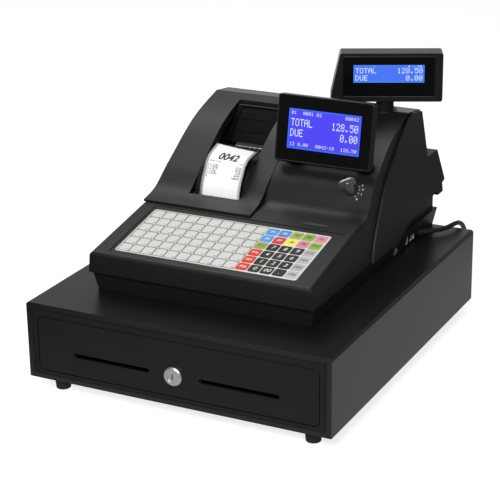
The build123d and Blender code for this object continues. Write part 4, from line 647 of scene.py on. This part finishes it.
def keyTree():
    # one rounded field on each point, sized and inked from the point's own values
    tree, start = treeStart("keyFields", ("Width", "Depth", "Corner", "Lift"))
    outline = addNode(tree, "GeometryNodeCurvePrimitiveQuadrilateral", None,
                      {"Width": start.outputs["Width"], "Height": start.outputs["Depth"]})
    rounded = addNode(tree, "GeometryNodeFilletCurve", {"mode": "POLY", "Count": 4},
                      {"Curve": outline, "Radius": start.outputs["Corner"]})
    fill = addNode(tree, "GeometryNodeFillCurve", {"mode": "NGONS"}, {"Curve": rounded})
    wall = addNode(tree, "GeometryNodeExtrudeMesh", {"mode": "FACES", "Individual": False},
                   {"Mesh": fill, "Offset Scale": start.outputs["Lift"]})
    shrink = addNode(tree, "GeometryNodeScaleElements", {"domain": "FACE", "Scale": keySetup["crown"]},
                     {"Geometry": wall.outputs["Mesh"], "Selection": wall.outputs["Top"]})
    treeEnd(tree, start, shrink, sized=True)
    return tree


def keyFields():
    places, inks, sizes = [], [], []
    for row, column, x, y in allFields():
        places.append((x * mm, y * mm, 0))
        coloured = column - keySetup["plainColumns"]
        inks.append(hexLinear(keyPrint[row][coloured] if coloured >= 0 else keySetup["plain"]))
        gap = keySetup["tightGap" if coloured >= 0 else "gap"]
        sizes.append((1 - gap / keyPitch[0], 1 - gap / keyPitch[1], 1))
    points = pointsAt("keyFields", places, sizes)
    ink = points.attributes.new("ink", "FLOAT_COLOR", "POINT")
    for item, colour in zip(ink.data, inks):
        item.color = colour
    mesh = runTree(points, keyTree(), Width=keyPitch[0] * mm, Depth=keyPitch[1] * mm,
                   Corner=keySetup["corner"] * mm, Lift=keySetup["lift"] * mm, Material=keyFilm)
    mesh.transform(onDeck)
    piece = keep("key_fields", mesh, keyFilm)


def flatShape(name, outlines, lift, material):
    # thin print on the sheet, from outlines in mm
    mesh = facesMesh([[(x * mm, y * mm, lift * mm) for x, y in outline] for outline in outlines])
    mesh.transform(onDeck)
    keep(name, mesh, material)


def gridPrint():
    # grey ground of the light fields, and a light mark at each crossing of its lines
    spread = keySetup["gap"] / 2 - keySetup["gridTrim"] - keySetup["border"]
    left = -keySetup["width"] / 2 - spread
    right = keyPlace(keySetup["plainColumns"] - 1, 0)[0] + keyPitch[0] / 2
    top = keySetup["depth"] / 2 + spread
    ground = [(left, -top), (right, -top), (right, top), (left, top)]
    flatShape("key_grid", [ground], keySetup["gridLift"], gridFilm)
    marks = []
    d = keySetup["cross"]
    for row in range(1, keySetup["rows"]):
        for column in range(1, keySetup["plainColumns"]):
            x, y = keyPlace(column, row)
            x -= keyPitch[0] / 2
            y += keyPitch[1] / 2
            marks.append([(x - d, y), (x, y - d), (x + d, y), (x, y + d)])
    flatShape("key_crosses", marks, keySetup["crossLift"], whiteFilm)


keyFields()
gridPrint()
report("key fields")

legendSetup = {
    "digit": (6.2, 0.2, 0.1),  # height in mm, shear, boldness in mm
    "code": (4.2, 0.2, 0.12),
    "mark": (2.0, 0.0, 0.08),
    "markAt": (4.4, -5.2),  # from the field's middle
    "rise": 0.02,  # above the field
    "digitsFrom": (11, 2),  # column and row of the digits' first field
    "whiteOn": ["#5a97dc", "#4f8fd6", "#5b9ae0", "#d93a26", "#d8392a", "#d63a27", "#d83a28"],
}


def keyLegends():
    plain = keySetup["plainColumns"]
    firstColumn, firstRow = legendSetup["digitsFrom"]
    top = keySetup["lift"] + legendSetup["rise"]
    parts = {"key_digits": [], "key_marks": [], "key_codes": []}
    for row, column, x, y in allFields():
        if column < plain:
            piece, style, text = "key_marks", "mark", str(row * plain + column + 1)
            x += legendSetup["markAt"][0]
            y += legendSetup["markAt"][1]
        elif 0 <= column - firstColumn < len(keyDigits[0]) and row >= firstRow:
            piece, style, text = "key_digits", "digit", keyDigits[row - firstRow][column - firstColumn]
        else:
            white = keyPrint[row][column - plain] in legendSetup["whiteOn"]
            piece, style = "key_digits" if white else "key_codes", "code"
            text = "F%d" % (row * len(keyPrint[0]) + column - plain + 1)
        place = Matrix.Translation((x * mm, y * mm, top * mm))
        parts[piece].append((writing(text, *legendSetup[style]), place))
    for name, ink in (("key_digits", whiteInk), ("key_marks", greyInk), ("key_codes", blackInkAndRecessShade)):
        mesh = joined(parts[name])
        mesh.transform(onDeck)
        keep(name, mesh, ink)


keyLegends()
report("legends")

# receipt: one strip from the roll, round the platen and out of the window

receiptSetup = {
    "width": 57.0,
    "middle": -53.8,
    "web": [(95.0, 183.0), (-13.6, 184.5), (-17.4, 185.6), (-19.4, 188.4), (-19.6, 190.5)],  # y, z to the nip
    "rise": [(-19.5, 202.5), (-16.6, 215.5), (-11.5, 226.0), (-5.5, 235.2), (0.0, 244.0), (11.0, 252.5),
             (32.0, 259.0)],
    "freeFrom": 0.45,  # share of the rise past which the strip hangs free
    "droop": 6.0,  # how far the free end's right corner hangs lower
    "sway": 3.0,
    "edgeCurl": 0.5,
    "webSteps": 4,  # along each span
    "steps": 14,
    "across": 12,
    "thickness": 0.12,
}


def smoothPath(points, steps):
    # Catmull-Rom through given (y, z) points, in mm
    path = []
    for index in range(len(points) - 1):
        p0 = Vector(points[max(index - 1, 0)])
        p1, p2 = Vector(points[index]), Vector(points[index + 1])
        p3 = Vector(points[min(index + 2, len(points) - 1)])
        for step in range(steps):
            t = step / steps
            path.append(0.5 * (2 * p1 + (p2 - p0) * t + (2 * p0 - 5 * p1 + 4 * p2 - p3) * t * t
                               + (3 * p1 - p0 - 3 * p2 + p3) * t ** 3))
    path.append(Vector(points[-1]))
    return path


risePath = smoothPath(receiptSetup["rise"], receiptSetup["steps"])


def paperPoint(across, share, lift=0.0):
    # a point of the free strip: across from -1 to 1, share from the nip to the end
    place = share * (len(risePath) - 1)
    index = min(int(place), len(risePath) - 2)
    here = risePath[index].lerp(risePath[index + 1], place - index)
    along = (risePath[index + 1] - risePath[index]).normalized()
    free = max(0.0, share - receiptSetup["freeFrom"]) / (1 - receiptSetup["freeFrom"])
    turned = free ** 2 * (across + 1) / 2
    off = lift + receiptSetup["edgeCurl"] * across ** 2 * min(1.0, 2 * free)
    x = receiptSetup["middle"] + across * receiptSetup["width"] / 2
    y = here.x - off * along.y + receiptSetup["sway"] * turned
    z = here.y + off * along.x - receiptSetup["droop"] * turned
    return Vector((x, y, z)) * mm


def receiptStrip():
    count = receiptSetup["across"]
    acrossAll = [2 * c / count - 1 for c in range(count + 1)]
    half = receiptSetup["width"] / 2
    rows = []
    for y, z in smoothPath(receiptSetup["web"], receiptSetup["webSteps"])[:-1]:
        rows.append([Vector((receiptSetup["middle"] + across * half, y, z)) * mm for across in acrossAll])
    spans = len(risePath) - 1
    for line in range(spans + 1):
        rows.append([paperPoint(across, line / spans) for across in acrossAll])
    mesh = sheetMesh(rows)
    mesh.shade_smooth()
    piece = keep("receipt", mesh, thermalPaper)
    addWall(piece, receiptSetup["thickness"])
    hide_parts("receipt_paper")


printSetup = {
    "header": ("0042", 0.80, 9.4, 0.42),  # text, share up the strip, digit height, boldness
    "headerShear": 0.15,
    "headerCuts": 3,  # large digits are cut finer to bend with the strip
    "lines": [  # left word, right word, share up the strip, digit height, boldness
        ("18-06  12:40", "007", 0.70, 2.2, 0.04),
        ("2 x 12.50", "25.00", 0.62, 2.6, 0.09),
        ("1 x 18.00", "18.00", 0.575, 2.6, 0.09),
        ("3 x 13.17", "39.50", 0.53, 2.6, 0.09),
        ("1 x 6.00", "6.00", 0.485, 2.6, 0.09),
        ("2 x 20.00", "40.00", 0.44, 2.6, 0.09),
        ("5", "128.50", 0.385, 2.9, 0.12),
    ],
    "margin": 0.84,  # where the lines start and end, as a share of the half width
    "lift": 0.12,
}


def layOnStrip(shape, mesh, across, share, cuts=0):
    # bends flat print onto the free strip and adds it to the shape
    span = sum((b - a).length for a, b in zip(risePath, risePath[1:]))
    half = receiptSetup["width"] / 2
    glyphs = bmesh.new()
    glyphs.from_mesh(mesh)
    bmesh.ops.triangulate(glyphs, faces=glyphs.faces)
    if cuts:
        bmesh.ops.subdivide_edges(glyphs, edges=glyphs.edges, cuts=cuts, use_grid_fill=True)
    for vertex in glyphs.verts:
        x, y = vertex.co.x / mm / half, vertex.co.y / mm / span
        vertex.co = paperPoint(across + x, share + y, printSetup["lift"])
    glyphs.to_mesh(mesh)
    glyphs.free()
    shape.from_mesh(mesh)
    bpy.data.meshes.remove(mesh)


def receiptPrint():
    shape = bmesh.new()
    text, share, height, bold = printSetup["header"]
    header = writing(text, height, printSetup["headerShear"], bold)
    layOnStrip(shape, header, 0.0, share, printSetup["headerCuts"])
    for left, right, share, height, bold in printSetup["lines"]:
        for text, side, align in ((left, -1, "LEFT"), (right, 1, "RIGHT")):
            mesh = writing(text, height, 0.0, bold, align)
            layOnStrip(shape, mesh, side * printSetup["margin"], share)
    keep("receipt_print", meshFrom(shape), blackInkAndRecessShade)


guideSetup = {
    # y, z
    "profile": [(-7.0, 198.5), (-3.0, 214.0), (6.0, 230.0), (22.0, 241.0), (44.0, 247.0), (62.0, 249.0)],
    "steps": 5,
    "sides": (-95.0, -23.5),  # x
    "pitch": 7.15,
    "rib": 1.2,
    "rise": 0.9,
    "flank": 0.2,  # width of a rib's sloping side
    "wall": 1.6,
}


def paperGuide():
    # ribbed guide behind the strip, which hides the roll
    low, high = guideSetup["sides"]
    pitch, rib, rise, flank = (guideSetup[key] for key in ("pitch", "rib", "rise", "flank"))
    columns = []
    for index in range(int((high - low) / pitch)):
        start = low + index * pitch
        columns += [(start, 0.0), (start + pitch - rib, 0.0), (start + pitch - rib + flank, rise),
                    (start + pitch - flank, rise)]
    columns.append((high, 0.0))
    line = smoothPath(guideSetup["profile"], guideSetup["steps"])
    rows = []
    for index, here in enumerate(line):
        along = (line[min(index + 1, len(line) - 1)] - line[max(index - 1, 0)]).normalized()
        rows.append([Vector((x, here.x - along.y * up, here.y + along.x * up)) * mm for x, up in columns])
    piece = keep("paper_guide", sheetMesh(rows), innerAbs)
    addWall(piece, guideSetup["wall"])


receiptStrip()
receiptPrint()
paperGuide()
report("receipt")

# bead moulded round the front frame

beadSetup = {"inset": 4.8, "corner": 3.0, "radius": 0.6}


def frameBead():
    low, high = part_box("front_frame")
    place = faceFrame(((low.x + high.x) / 2, low.y, (low.z + high.z) / 2), (1, 0, 0), (0, -1, 0))
    size = [(high[axis] - low[axis]) / mm - 2 * beadSetup["inset"] for axis in (0, 2)]
    beadLoop("frame_bead", size, beadSetup["corner"], beadSetup["radius"], place, drawerAbs)


frameBead()
report("front bead")

# mode switch: position marks printed on the panel round it

modeSetup = {
    "radius": 11.0,
    "labelRadius": 15.2,
    "rise": 0.06,
    "dot": 0.55,
    "dotCorners": 12,
    "label": (2.2, 0.0, 0.12),  # height in mm, shear, boldness in mm
    "marks": [("3", 36), ("2", 12), ("1", -14), ("0", -46)],  # label, angle from the right in degrees
}


def modeMarks():
    joint = next(j for j in frame["record"]["behaviour"]["joints"] if j["name"] == "mode_lock_turn")
    place = faceFrame(Vector(joint["pos_m"]), (1, 0, 0), joint["axis"])
    corners = modeSetup["dotCorners"]
    angles = [2 * math.pi * i / corners for i in range(corners)]
    rim = [Vector((math.cos(angle), math.sin(angle), 0)) * modeSetup["dot"] * mm for angle in angles]
    parts = []
    for label, angle in modeSetup["marks"]:
        turn = math.radians(angle)
        way = Vector((math.cos(turn), math.sin(turn), 0)) * mm
        parts.append((facesMesh([rim]), Matrix.Translation(way * modeSetup["radius"])))
        word = writing(label, *modeSetup["label"])
        parts.append((word, Matrix.Translation(way * modeSetup["labelRadius"])))
    mesh = joined(parts)
    mesh.transform(Matrix.Translation((0, 0, modeSetup["rise"] * mm)))
    layOn(mesh, "lower_panel", place)
    keep("mode_marks", mesh, whiteInk)


modeMarks()
report("mode switch")

# back: cooling ribs on the upper case, pan-head screws on it and on the cabinet, with painted shade in their
# cross recesses

rearSetup = {
    "ribs": 22,
    "pitch": 7.0,
    "rib": (3.0, 34.0, 2.2),  # width, height, how far it stands out
    "ribsAt": (0.0, 0.192, 0.246),
    "ribsLean": 8.5,  # degrees that the wall leans forward
    "head": (3.3, 2.5, 1.5),  # screw head: foot radius, top radius, height
    "headCorners": 20,
    # the cross recess is not cut: flat black bars on the head paint the shade in it
    "cross": (3.6, 0.8),  # bar of the recess: length, width
    "crossLift": 0.06,  # of the first bar above the head
    "crossStep": 0.02,  # of each next bar above the last, so that no two share a plane
    "caseScrews": [(-0.118, 0.247, 0.196), (0.118, 0.247, 0.196)],
    "caseLean": 22.0,
    "cabinetScrews": [(x, 0.226, z) for x in (-0.186, 0.0, 0.186) for z in (0.032, 0.106)],
}


def leaning(degrees):
    # out of a rear wall that leans forward
    lean = math.radians(degrees)
    return Vector((0, math.cos(lean), math.sin(lean)))


def rearRibs():
    width, height, out = rearSetup["rib"]
    tree, start = treeStart("coolingRibs", ("Width", "Height", "Depth"))
    size = addNode(tree, "ShaderNodeCombineXYZ", None,
                   {0: start.outputs["Width"], 1: start.outputs["Height"], 2: start.outputs["Depth"]})
    treeEnd(tree, start, addNode(tree, "GeometryNodeMeshCube", None, {"Size": size}))
    count, pitch = rearSetup["ribs"], rearSetup["pitch"] * mm
    points = pointsAt("ribs", [((i - (count - 1) / 2) * pitch, 0, 0) for i in range(count)])
    mesh = runTree(points, tree, Width=width * mm, Height=height * mm, Depth=2 * out * mm,
                   Material=texturedAbs)
    layOn(mesh, "upper_case", faceFrame(rearSetup["ribsAt"], (-1, 0, 0), leaning(rearSetup["ribsLean"])))
    keep("rear_ribs", mesh, texturedAbs)


def screwHeads(name, node, places, out):
    foot, top, height = rearSetup["head"]
    tree, start = treeStart(name, ("Foot", "Top", "Height"))
    head = addNode(tree, "GeometryNodeMeshCone", {"Vertices": rearSetup["headCorners"]},
                   {"Radius Top": start.outputs["Top"], "Radius Bottom": start.outputs["Foot"],
                    "Depth": start.outputs["Height"]})
    treeEnd(tree, start, head)
    middle = sum((Vector(place) for place in places), Vector()) / len(places)
    place = faceFrame(middle, (-1, 0, 0), out)
    flat = [place.inverted() @ Vector(spot) for spot in places]
    points = pointsAt(name, [(spot.x, spot.y, 0) for spot in flat])
    mesh = runTree(points, tree, Foot=foot * mm, Top=top * mm, Height=height * mm, Material=zincPlate)
    layOn(mesh, node, place)
    keep(name, mesh, zincPlate)
    # painted shade: two flat black bars on each head stand in for the shade in its cross recess
    half, thin = (size / 2 * mm for size in rearSetup["cross"])
    outlines = []
    for spot in flat:
        for w, h in ((half, thin), (thin, half)):
            lift = (height + rearSetup["crossLift"] + len(outlines) * rearSetup["crossStep"]) * mm
            outlines.append([(spot.x + sx * w, spot.y + sy * h, lift)
                             for sx, sy in ((-1, -1), (1, -1), (1, 1), (-1, 1))])
    crosses = facesMesh(outlines)
    layOn(crosses, node, place)
    keep(name + "_cross_shade", crosses, blackInkAndRecessShade)


rearRibs()
screwHeads("case_screws", "upper_case", rearSetup["caseScrews"], leaning(rearSetup["caseLean"]))
screwHeads("cabinet_screws", "cabinet_shell", rearSetup["cabinetScrews"], leaning(0))
report("back")

# displays: lit dots on a backlit face

dotSetup = {
    "columns": 5,
    "rows": 7,
    "fill": 0.94,  # a dot's share of its pitch
    "lift": 0.05,  # in front of the lit face
    "font": {  # two hex figures a row, top row first
        "0": "0E11131519110E", "1": "040C040404040E", "2": "0E11010204081F", "3": "1F02040201110E",
        "4": "02060A121F0202", "5": "1F101E0101110E", "6": "0608101E11110E", "7": "1F010204080808",
        "8": "0E11110E11110E", "9": "0E11110F01020C", ".": "00000000000C0C", "T": "1F040404040404",
        "O": "0E11111111110E", "A": "0E11111F111111", "L": "1010101010101F", "D": "1C12111111121C",
        "U": "1111111111110E", "E": "1F10101E10101F", "-": "0000001F000000", "#": "0A0A1F0A1F0A0A",
        " ": "00000000000000",
    },
}


def dotPoints(text, x, y, pitchX, pitchY, right=False):
    # middles of the lit dots of one line in mm; y is its middle, x its left or right end
    columns, rows = dotSetup["columns"], dotSetup["rows"]
    cell = columns + 1
    start = x - (len(text) * cell - 1) * pitchX if right else x
    points = []
    for place, letter in enumerate(text):
        for line in range(rows):
            bits = int(dotSetup["font"][letter][2 * line:2 * line + 2], 16)
            for column in range(columns):
                if bits >> (columns - 1 - column) & 1:
                    points.append((start + (place * cell + column + 0.5) * pitchX,
                                   y + (rows // 2 - line) * pitchY, pitchX, pitchY))
    return points


def dotTree():
    tree, start = treeStart("litDots", ("Fill",))
    square = addNode(tree, "GeometryNodeMeshGrid", {"Vertices X": 2, "Vertices Y": 2},
                     {"Size X": start.outputs["Fill"], "Size Y": start.outputs["Fill"]})
    treeEnd(tree, start, square, sized=True)
    return tree


dotSpread = dotTree()


def unlit(piece):
    # the display shows its light but is too dim to tint what stands round it
    piece.visible_diffuse = False
    piece.visible_glossy = False


def litText(name, lines, place, body):
    dots = [dot for line in lines for dot in dotPoints(*line)]
    points = pointsAt(name, [(x * mm, y * mm, 0) for x, y, w, h in dots],
                      [(w * mm, h * mm, 1) for x, y, w, h in dots])
    mesh = runTree(points, dotSpread, Fill=dotSetup["fill"], Material=dotGlow)
    mesh.transform(place)
    unlit(keep(name, mesh, dotGlow, body))


def glowFace(name, size, place, material, body):
    # the lit face in front of the module, with its own flat map in metres from its middle
    shape = squareShape(0.5)
    bmesh.ops.scale(shape, verts=shape.verts, vec=(size[0] * mm, size[1] * mm, 1))
    layer = shape.loops.layers.uv.new("face")
    for polygon in shape.faces:
        for loop in polygon.loops:
            loop[layer].uv = (loop.vert.co.x, loop.vert.co.y)
    mesh = meshFrom(shape)
    mesh.transform(place)
    unlit(keep(name, mesh, material, body))


backlightSetup = {
    "off": "#05060c",
    "rough": 0.3,
    "power": 0.95,
    "edge": (1.4, 2.4),  # where the edge's colour ends and the middle's starts, in mm
}


def backlightMaterial(name, setup):
    # backlit display: an even glow that changes along the module's edges
    material, tree, shader = newMaterial(name)
    setShader(shader, colour=backlightSetup["off"], rough=backlightSetup["rough"],
              power=backlightSetup["power"])
    place = addNode(tree, "ShaderNodeUVMap", {"uv_map": "face"})
    parts = addNode(tree, "ShaderNodeSeparateXYZ", None, {0: place})
    rooms = []
    for axis, size in enumerate(setup["size"]):
        away = addNode(tree, "ShaderNodeMath", {"operation": "ABSOLUTE"}, {0: parts.outputs[axis]})
        rooms.append(addNode(tree, "ShaderNodeMath", {"operation": "SUBTRACT", 0: size / 2 * mm}, {1: away}))
    nearest = addNode(tree, "ShaderNodeMath", {"operation": "MINIMUM"}, {0: rooms[0], 1: rooms[1]})
    near, far = backlightSetup["edge"]
    rim = addNode(tree, "ShaderNodeMapRange", {"From Min": near * mm, "From Max": far * mm}, {0: nearest})
    middle, edge = setup["glow"]
    colour = addNode(tree, "ShaderNodeMix", {"data_type": "RGBA", 6: hexLinear(edge), 7: hexLinear(middle)},
                     {0: rim})
    setShader(shader, glow=colour.outputs[2])
    return material


displaySetup = {
    "ahead": 3.52,  # of the module's middle: half its thickness, the gap and the acrylic
    "rimAhead": 1.0,  # of the window's middle
    "rimRadius": 0.9,
}
screenSetup = {
    "tilt": 10.8,  # degrees
    "yaw": 0.0,
    "size": (99.0, 50.8),
    "glow": ("#5247fb", "#3c6cff"),  # middle, edge
    "rim": (128.9, 83.2),  # bead along the middle of the frame's raised rim
    "rimCorner": 3.5,
    "lines": [  # text, x, y, pitch of the dots across and up, True where x is the right end
        ("01", -46, 20.4, 0.62, 0.6), ("0001 02", -30, 20.4, 0.62, 0.6), ("00042", 46, 20.4, 0.62, 0.6, True),
        ("TOTAL", -46, 8.2, 1.02, 1.36), ("128.50", 46, 8.2, 1.02, 1.36, True),
        ("DUE", -46, -5.0, 1.02, 1.36), ("0.00", 46, -5.0, 1.02, 1.36, True),
        ("12 0.00", -46, -19.4, 0.62, 0.6), ("0042-18", -10, -19.4, 0.62, 0.6),
        ("128.50", 46, -19.4, 0.62, 0.6, True),
    ],
}
turretSetup = {
    "tilt": 0.0,
    "yaw": 24.2,
    "size": (91.0, 23.2),
    "glow": ("#4a78fb", "#4486ff"),
    "rim": (118.6, 53.0),
    "rimCorner": 2.5,
    "lines": [
        ("TOTAL", -43, 4.2, 0.92, 0.98), ("128.50", 43, 4.2, 0.92, 0.98, True),
        ("DUE", -43, -5.4, 0.92, 0.98), ("0.00", 43, -5.4, 0.92, 0.98, True),
        ("# - ##", 42, 9.9, 0.5, 0.34, True), ("-", -20, 9.9, 0.5, 0.34),
    ],
}


def dressDisplay(name, node, setup):
    # the lit area is drawn on the window's face, where it shows through the acrylic
    tilt, yaw = math.radians(setup["tilt"]), math.radians(setup["yaw"])
    right = Vector((math.cos(yaw), math.sin(yaw), 0))
    out = Vector((math.sin(yaw) * math.cos(tilt), -math.cos(yaw) * math.cos(tilt), math.sin(tilt)))
    body = name + "_display"
    place = faceFrame(middleOf(node + "_lcd") + out * displaySetup["ahead"] * mm, right, out)
    glowFace(name + "_backlight", setup["size"], place, backlightMaterial(name + "Backlight", setup), body)
    dotsPlace = place @ Matrix.Translation((0, 0, dotSetup["lift"] * mm))
    litText(name + "_digits", setup["lines"], dotsPlace, body)
    rimPlace = faceFrame(middleOf(node + "_glass") + out * displaySetup["rimAhead"] * mm, right, out)
    beadLoop(name + "_rim", setup["rim"], setup["rimCorner"], displaySetup["rimRadius"], rimPlace,
             smoothAbs, body)


dressDisplay("operator", "screen", screenSetup)
dressDisplay("customer", "turret", turretSetup)
report("displays")

# studio: a lit floor, a dim dome with a bright band low down behind, and two soft boxes

studioSetup = {
    "floor": "#a8a8a8",
    "floorHalf": 6.0,  # metres
    "floorGlow": 0.8,  # the floor gives most of its light itself
    "hall": 5.0,  # radius of the white hall that closes the picture
    # each fade: its kind, where it starts and ends, and the light at both
    "dome": ("SMOOTHSTEP", 0.05, 0.7, 0.12, 0.16),  # by the sine of the height's angle, as the next two
    "below": ("LINEAR", -0.06, -0.02, -0.06, 0.0),  # takes half of the dome's light off under the horizon
    "band": ("SMOOTHSTEP", 0.1, 0.33, 1.7, 0.0),  # bright band low down behind, on the left
    "bandSide": ("SMOOTHSTEP", 0.6, 1.05, 0.0, 1.0),
    "bandLean": -0.6,  # how far the band's middle lies to the left of straight behind
    "table": ("SMOOTHSTEP", 0.8, 1.6, 0.47, 0.06),  # what gloss sees of the table, by its half sizes
    "tableMiddle": (0.06, 0.05),
    "tableHalf": (0.36, 0.55),
    "tableReach": 1.5,
    "tableLift": 0.0004,
    "boxes": [
        # name, place, aimed at, size, watts
        ("topBox", (-0.9, 0.6, 2.3), (0.0, 0.0, 0.2), (1.6, 1.2), 24),
        ("frontBox", (0.6, -2.2, 1.8), (0.0, 0.0, 0.2), (1.0, 0.8), 64),
    ],
}


def fade(key):
    words = ("interpolation_type", "From Min", "From Max", "To Min", "To Max")
    return dict(zip(words, studioSetup[key]))


def stagePiece(name, shape, material, unseenBy):
    # unseenBy names the rays that pass the piece by
    piece = addObject(name, meshFrom(shape))
    piece.data.materials.append(material)
    for ray in unseenBy:
        setattr(piece, "visible_" + ray, False)


def makeFloor():
    material = plainMaterial("paleFloor", colour=studioSetup["floor"], glow="#ffffff",
                             power=studioSetup["floorGlow"], rough=0.9, specular=0.1)
    stagePiece("floor", squareShape(studioSetup["floorHalf"]), material, ["glossy"])


def makeTable():
    # the lit table as gloss sees it in place of the floor, fading towards its edges
    material = bpy.data.materials.new("litTable")
    tree = emptyTree(material)
    place = addNode(tree, "ShaderNodeTexCoord").outputs["Object"]
    middle, half = studioSetup["tableMiddle"], studioSetup["tableHalf"]
    centred = addNode(tree, "ShaderNodeMapping", {
        "Location": (-middle[0] / half[0], -middle[1] / half[1], 0), "Scale": (1 / half[0], 1 / half[1], 0),
    }, {"Vector": place})
    far = addNode(tree, "ShaderNodeVectorMath", {"operation": "LENGTH"}, {0: centred})
    level = addNode(tree, "ShaderNodeMapRange", fade("table"), {"Value": far.outputs["Value"]})
    glow = addNode(tree, "ShaderNodeEmission", None, {"Strength": level})
    addNode(tree, "ShaderNodeOutputMaterial", None, {"Surface": glow})
    stagePiece("litTable", squareShape(studioSetup["tableReach"], studioSetup["tableLift"]), material,
               ["camera", "diffuse", "shadow"])


def makeBackdrop():
    # a white hall round the floor, seen by the camera alone
    shape = bmesh.new()
    bmesh.ops.create_icosphere(shape, subdivisions=4, radius=studioSetup["hall"])
    bmesh.ops.reverse_faces(shape, faces=shape.faces)
    material = plainMaterial("paleBackdrop", colour="#000000", glow="#ffffff", power=1.0)
    stagePiece("backdrop", shape, material, ["glossy", "diffuse", "shadow", "transmission"])


def makeWorld():
    world = bpy.data.worlds.new("studio")
    tree = emptyTree(world)
    place = addNode(tree, "ShaderNodeTexCoord")
    parts = addNode(tree, "ShaderNodeSeparateXYZ", None, {0: place.outputs["Generated"]})
    dome, below, band = (addNode(tree, "ShaderNodeMapRange", fade(key), {"Value": parts.outputs["Z"]})
                         for key in ("dome", "below", "band"))
    level = addNode(tree, "ShaderNodeMath", {"operation": "ADD"}, {0: dome, 1: below})
    lean = addNode(tree, "ShaderNodeMath", {"operation": "MULTIPLY_ADD", 1: studioSetup["bandLean"]},
                   {0: parts.outputs["X"], 2: parts.outputs["Y"]})
    side = addNode(tree, "ShaderNodeMapRange", fade("bandSide"), {"Value": lean})
    both = addNode(tree, "ShaderNodeMath", {"operation": "MULTIPLY_ADD"}, {0: band, 1: side, 2: level})
    glow = addNode(tree, "ShaderNodeBackground", {"Color": (1, 1, 1, 1)}, {"Strength": both})
    addNode(tree, "ShaderNodeOutputWorld", None, {"Surface": glow})
    bpy.context.scene.world = world


def areaLight(name, place, target, size, power):
    data = bpy.data.lights.new(name, "AREA")
    data.shape = "RECTANGLE"
    data.size, data.size_y = size
    data.energy = power
    lamp = addObject(name, data)
    lamp.location = place
    lamp.rotation_euler = (Vector(target) - Vector(place)).to_track_quat("-Z", "Y").to_euler()


makeFloor()
makeTable()
makeBackdrop()
makeWorld()
for box in studioSetup["boxes"]:
    areaLight(*box)
bpy.context.scene.view_settings.view_transform = "Standard"
report("studio")
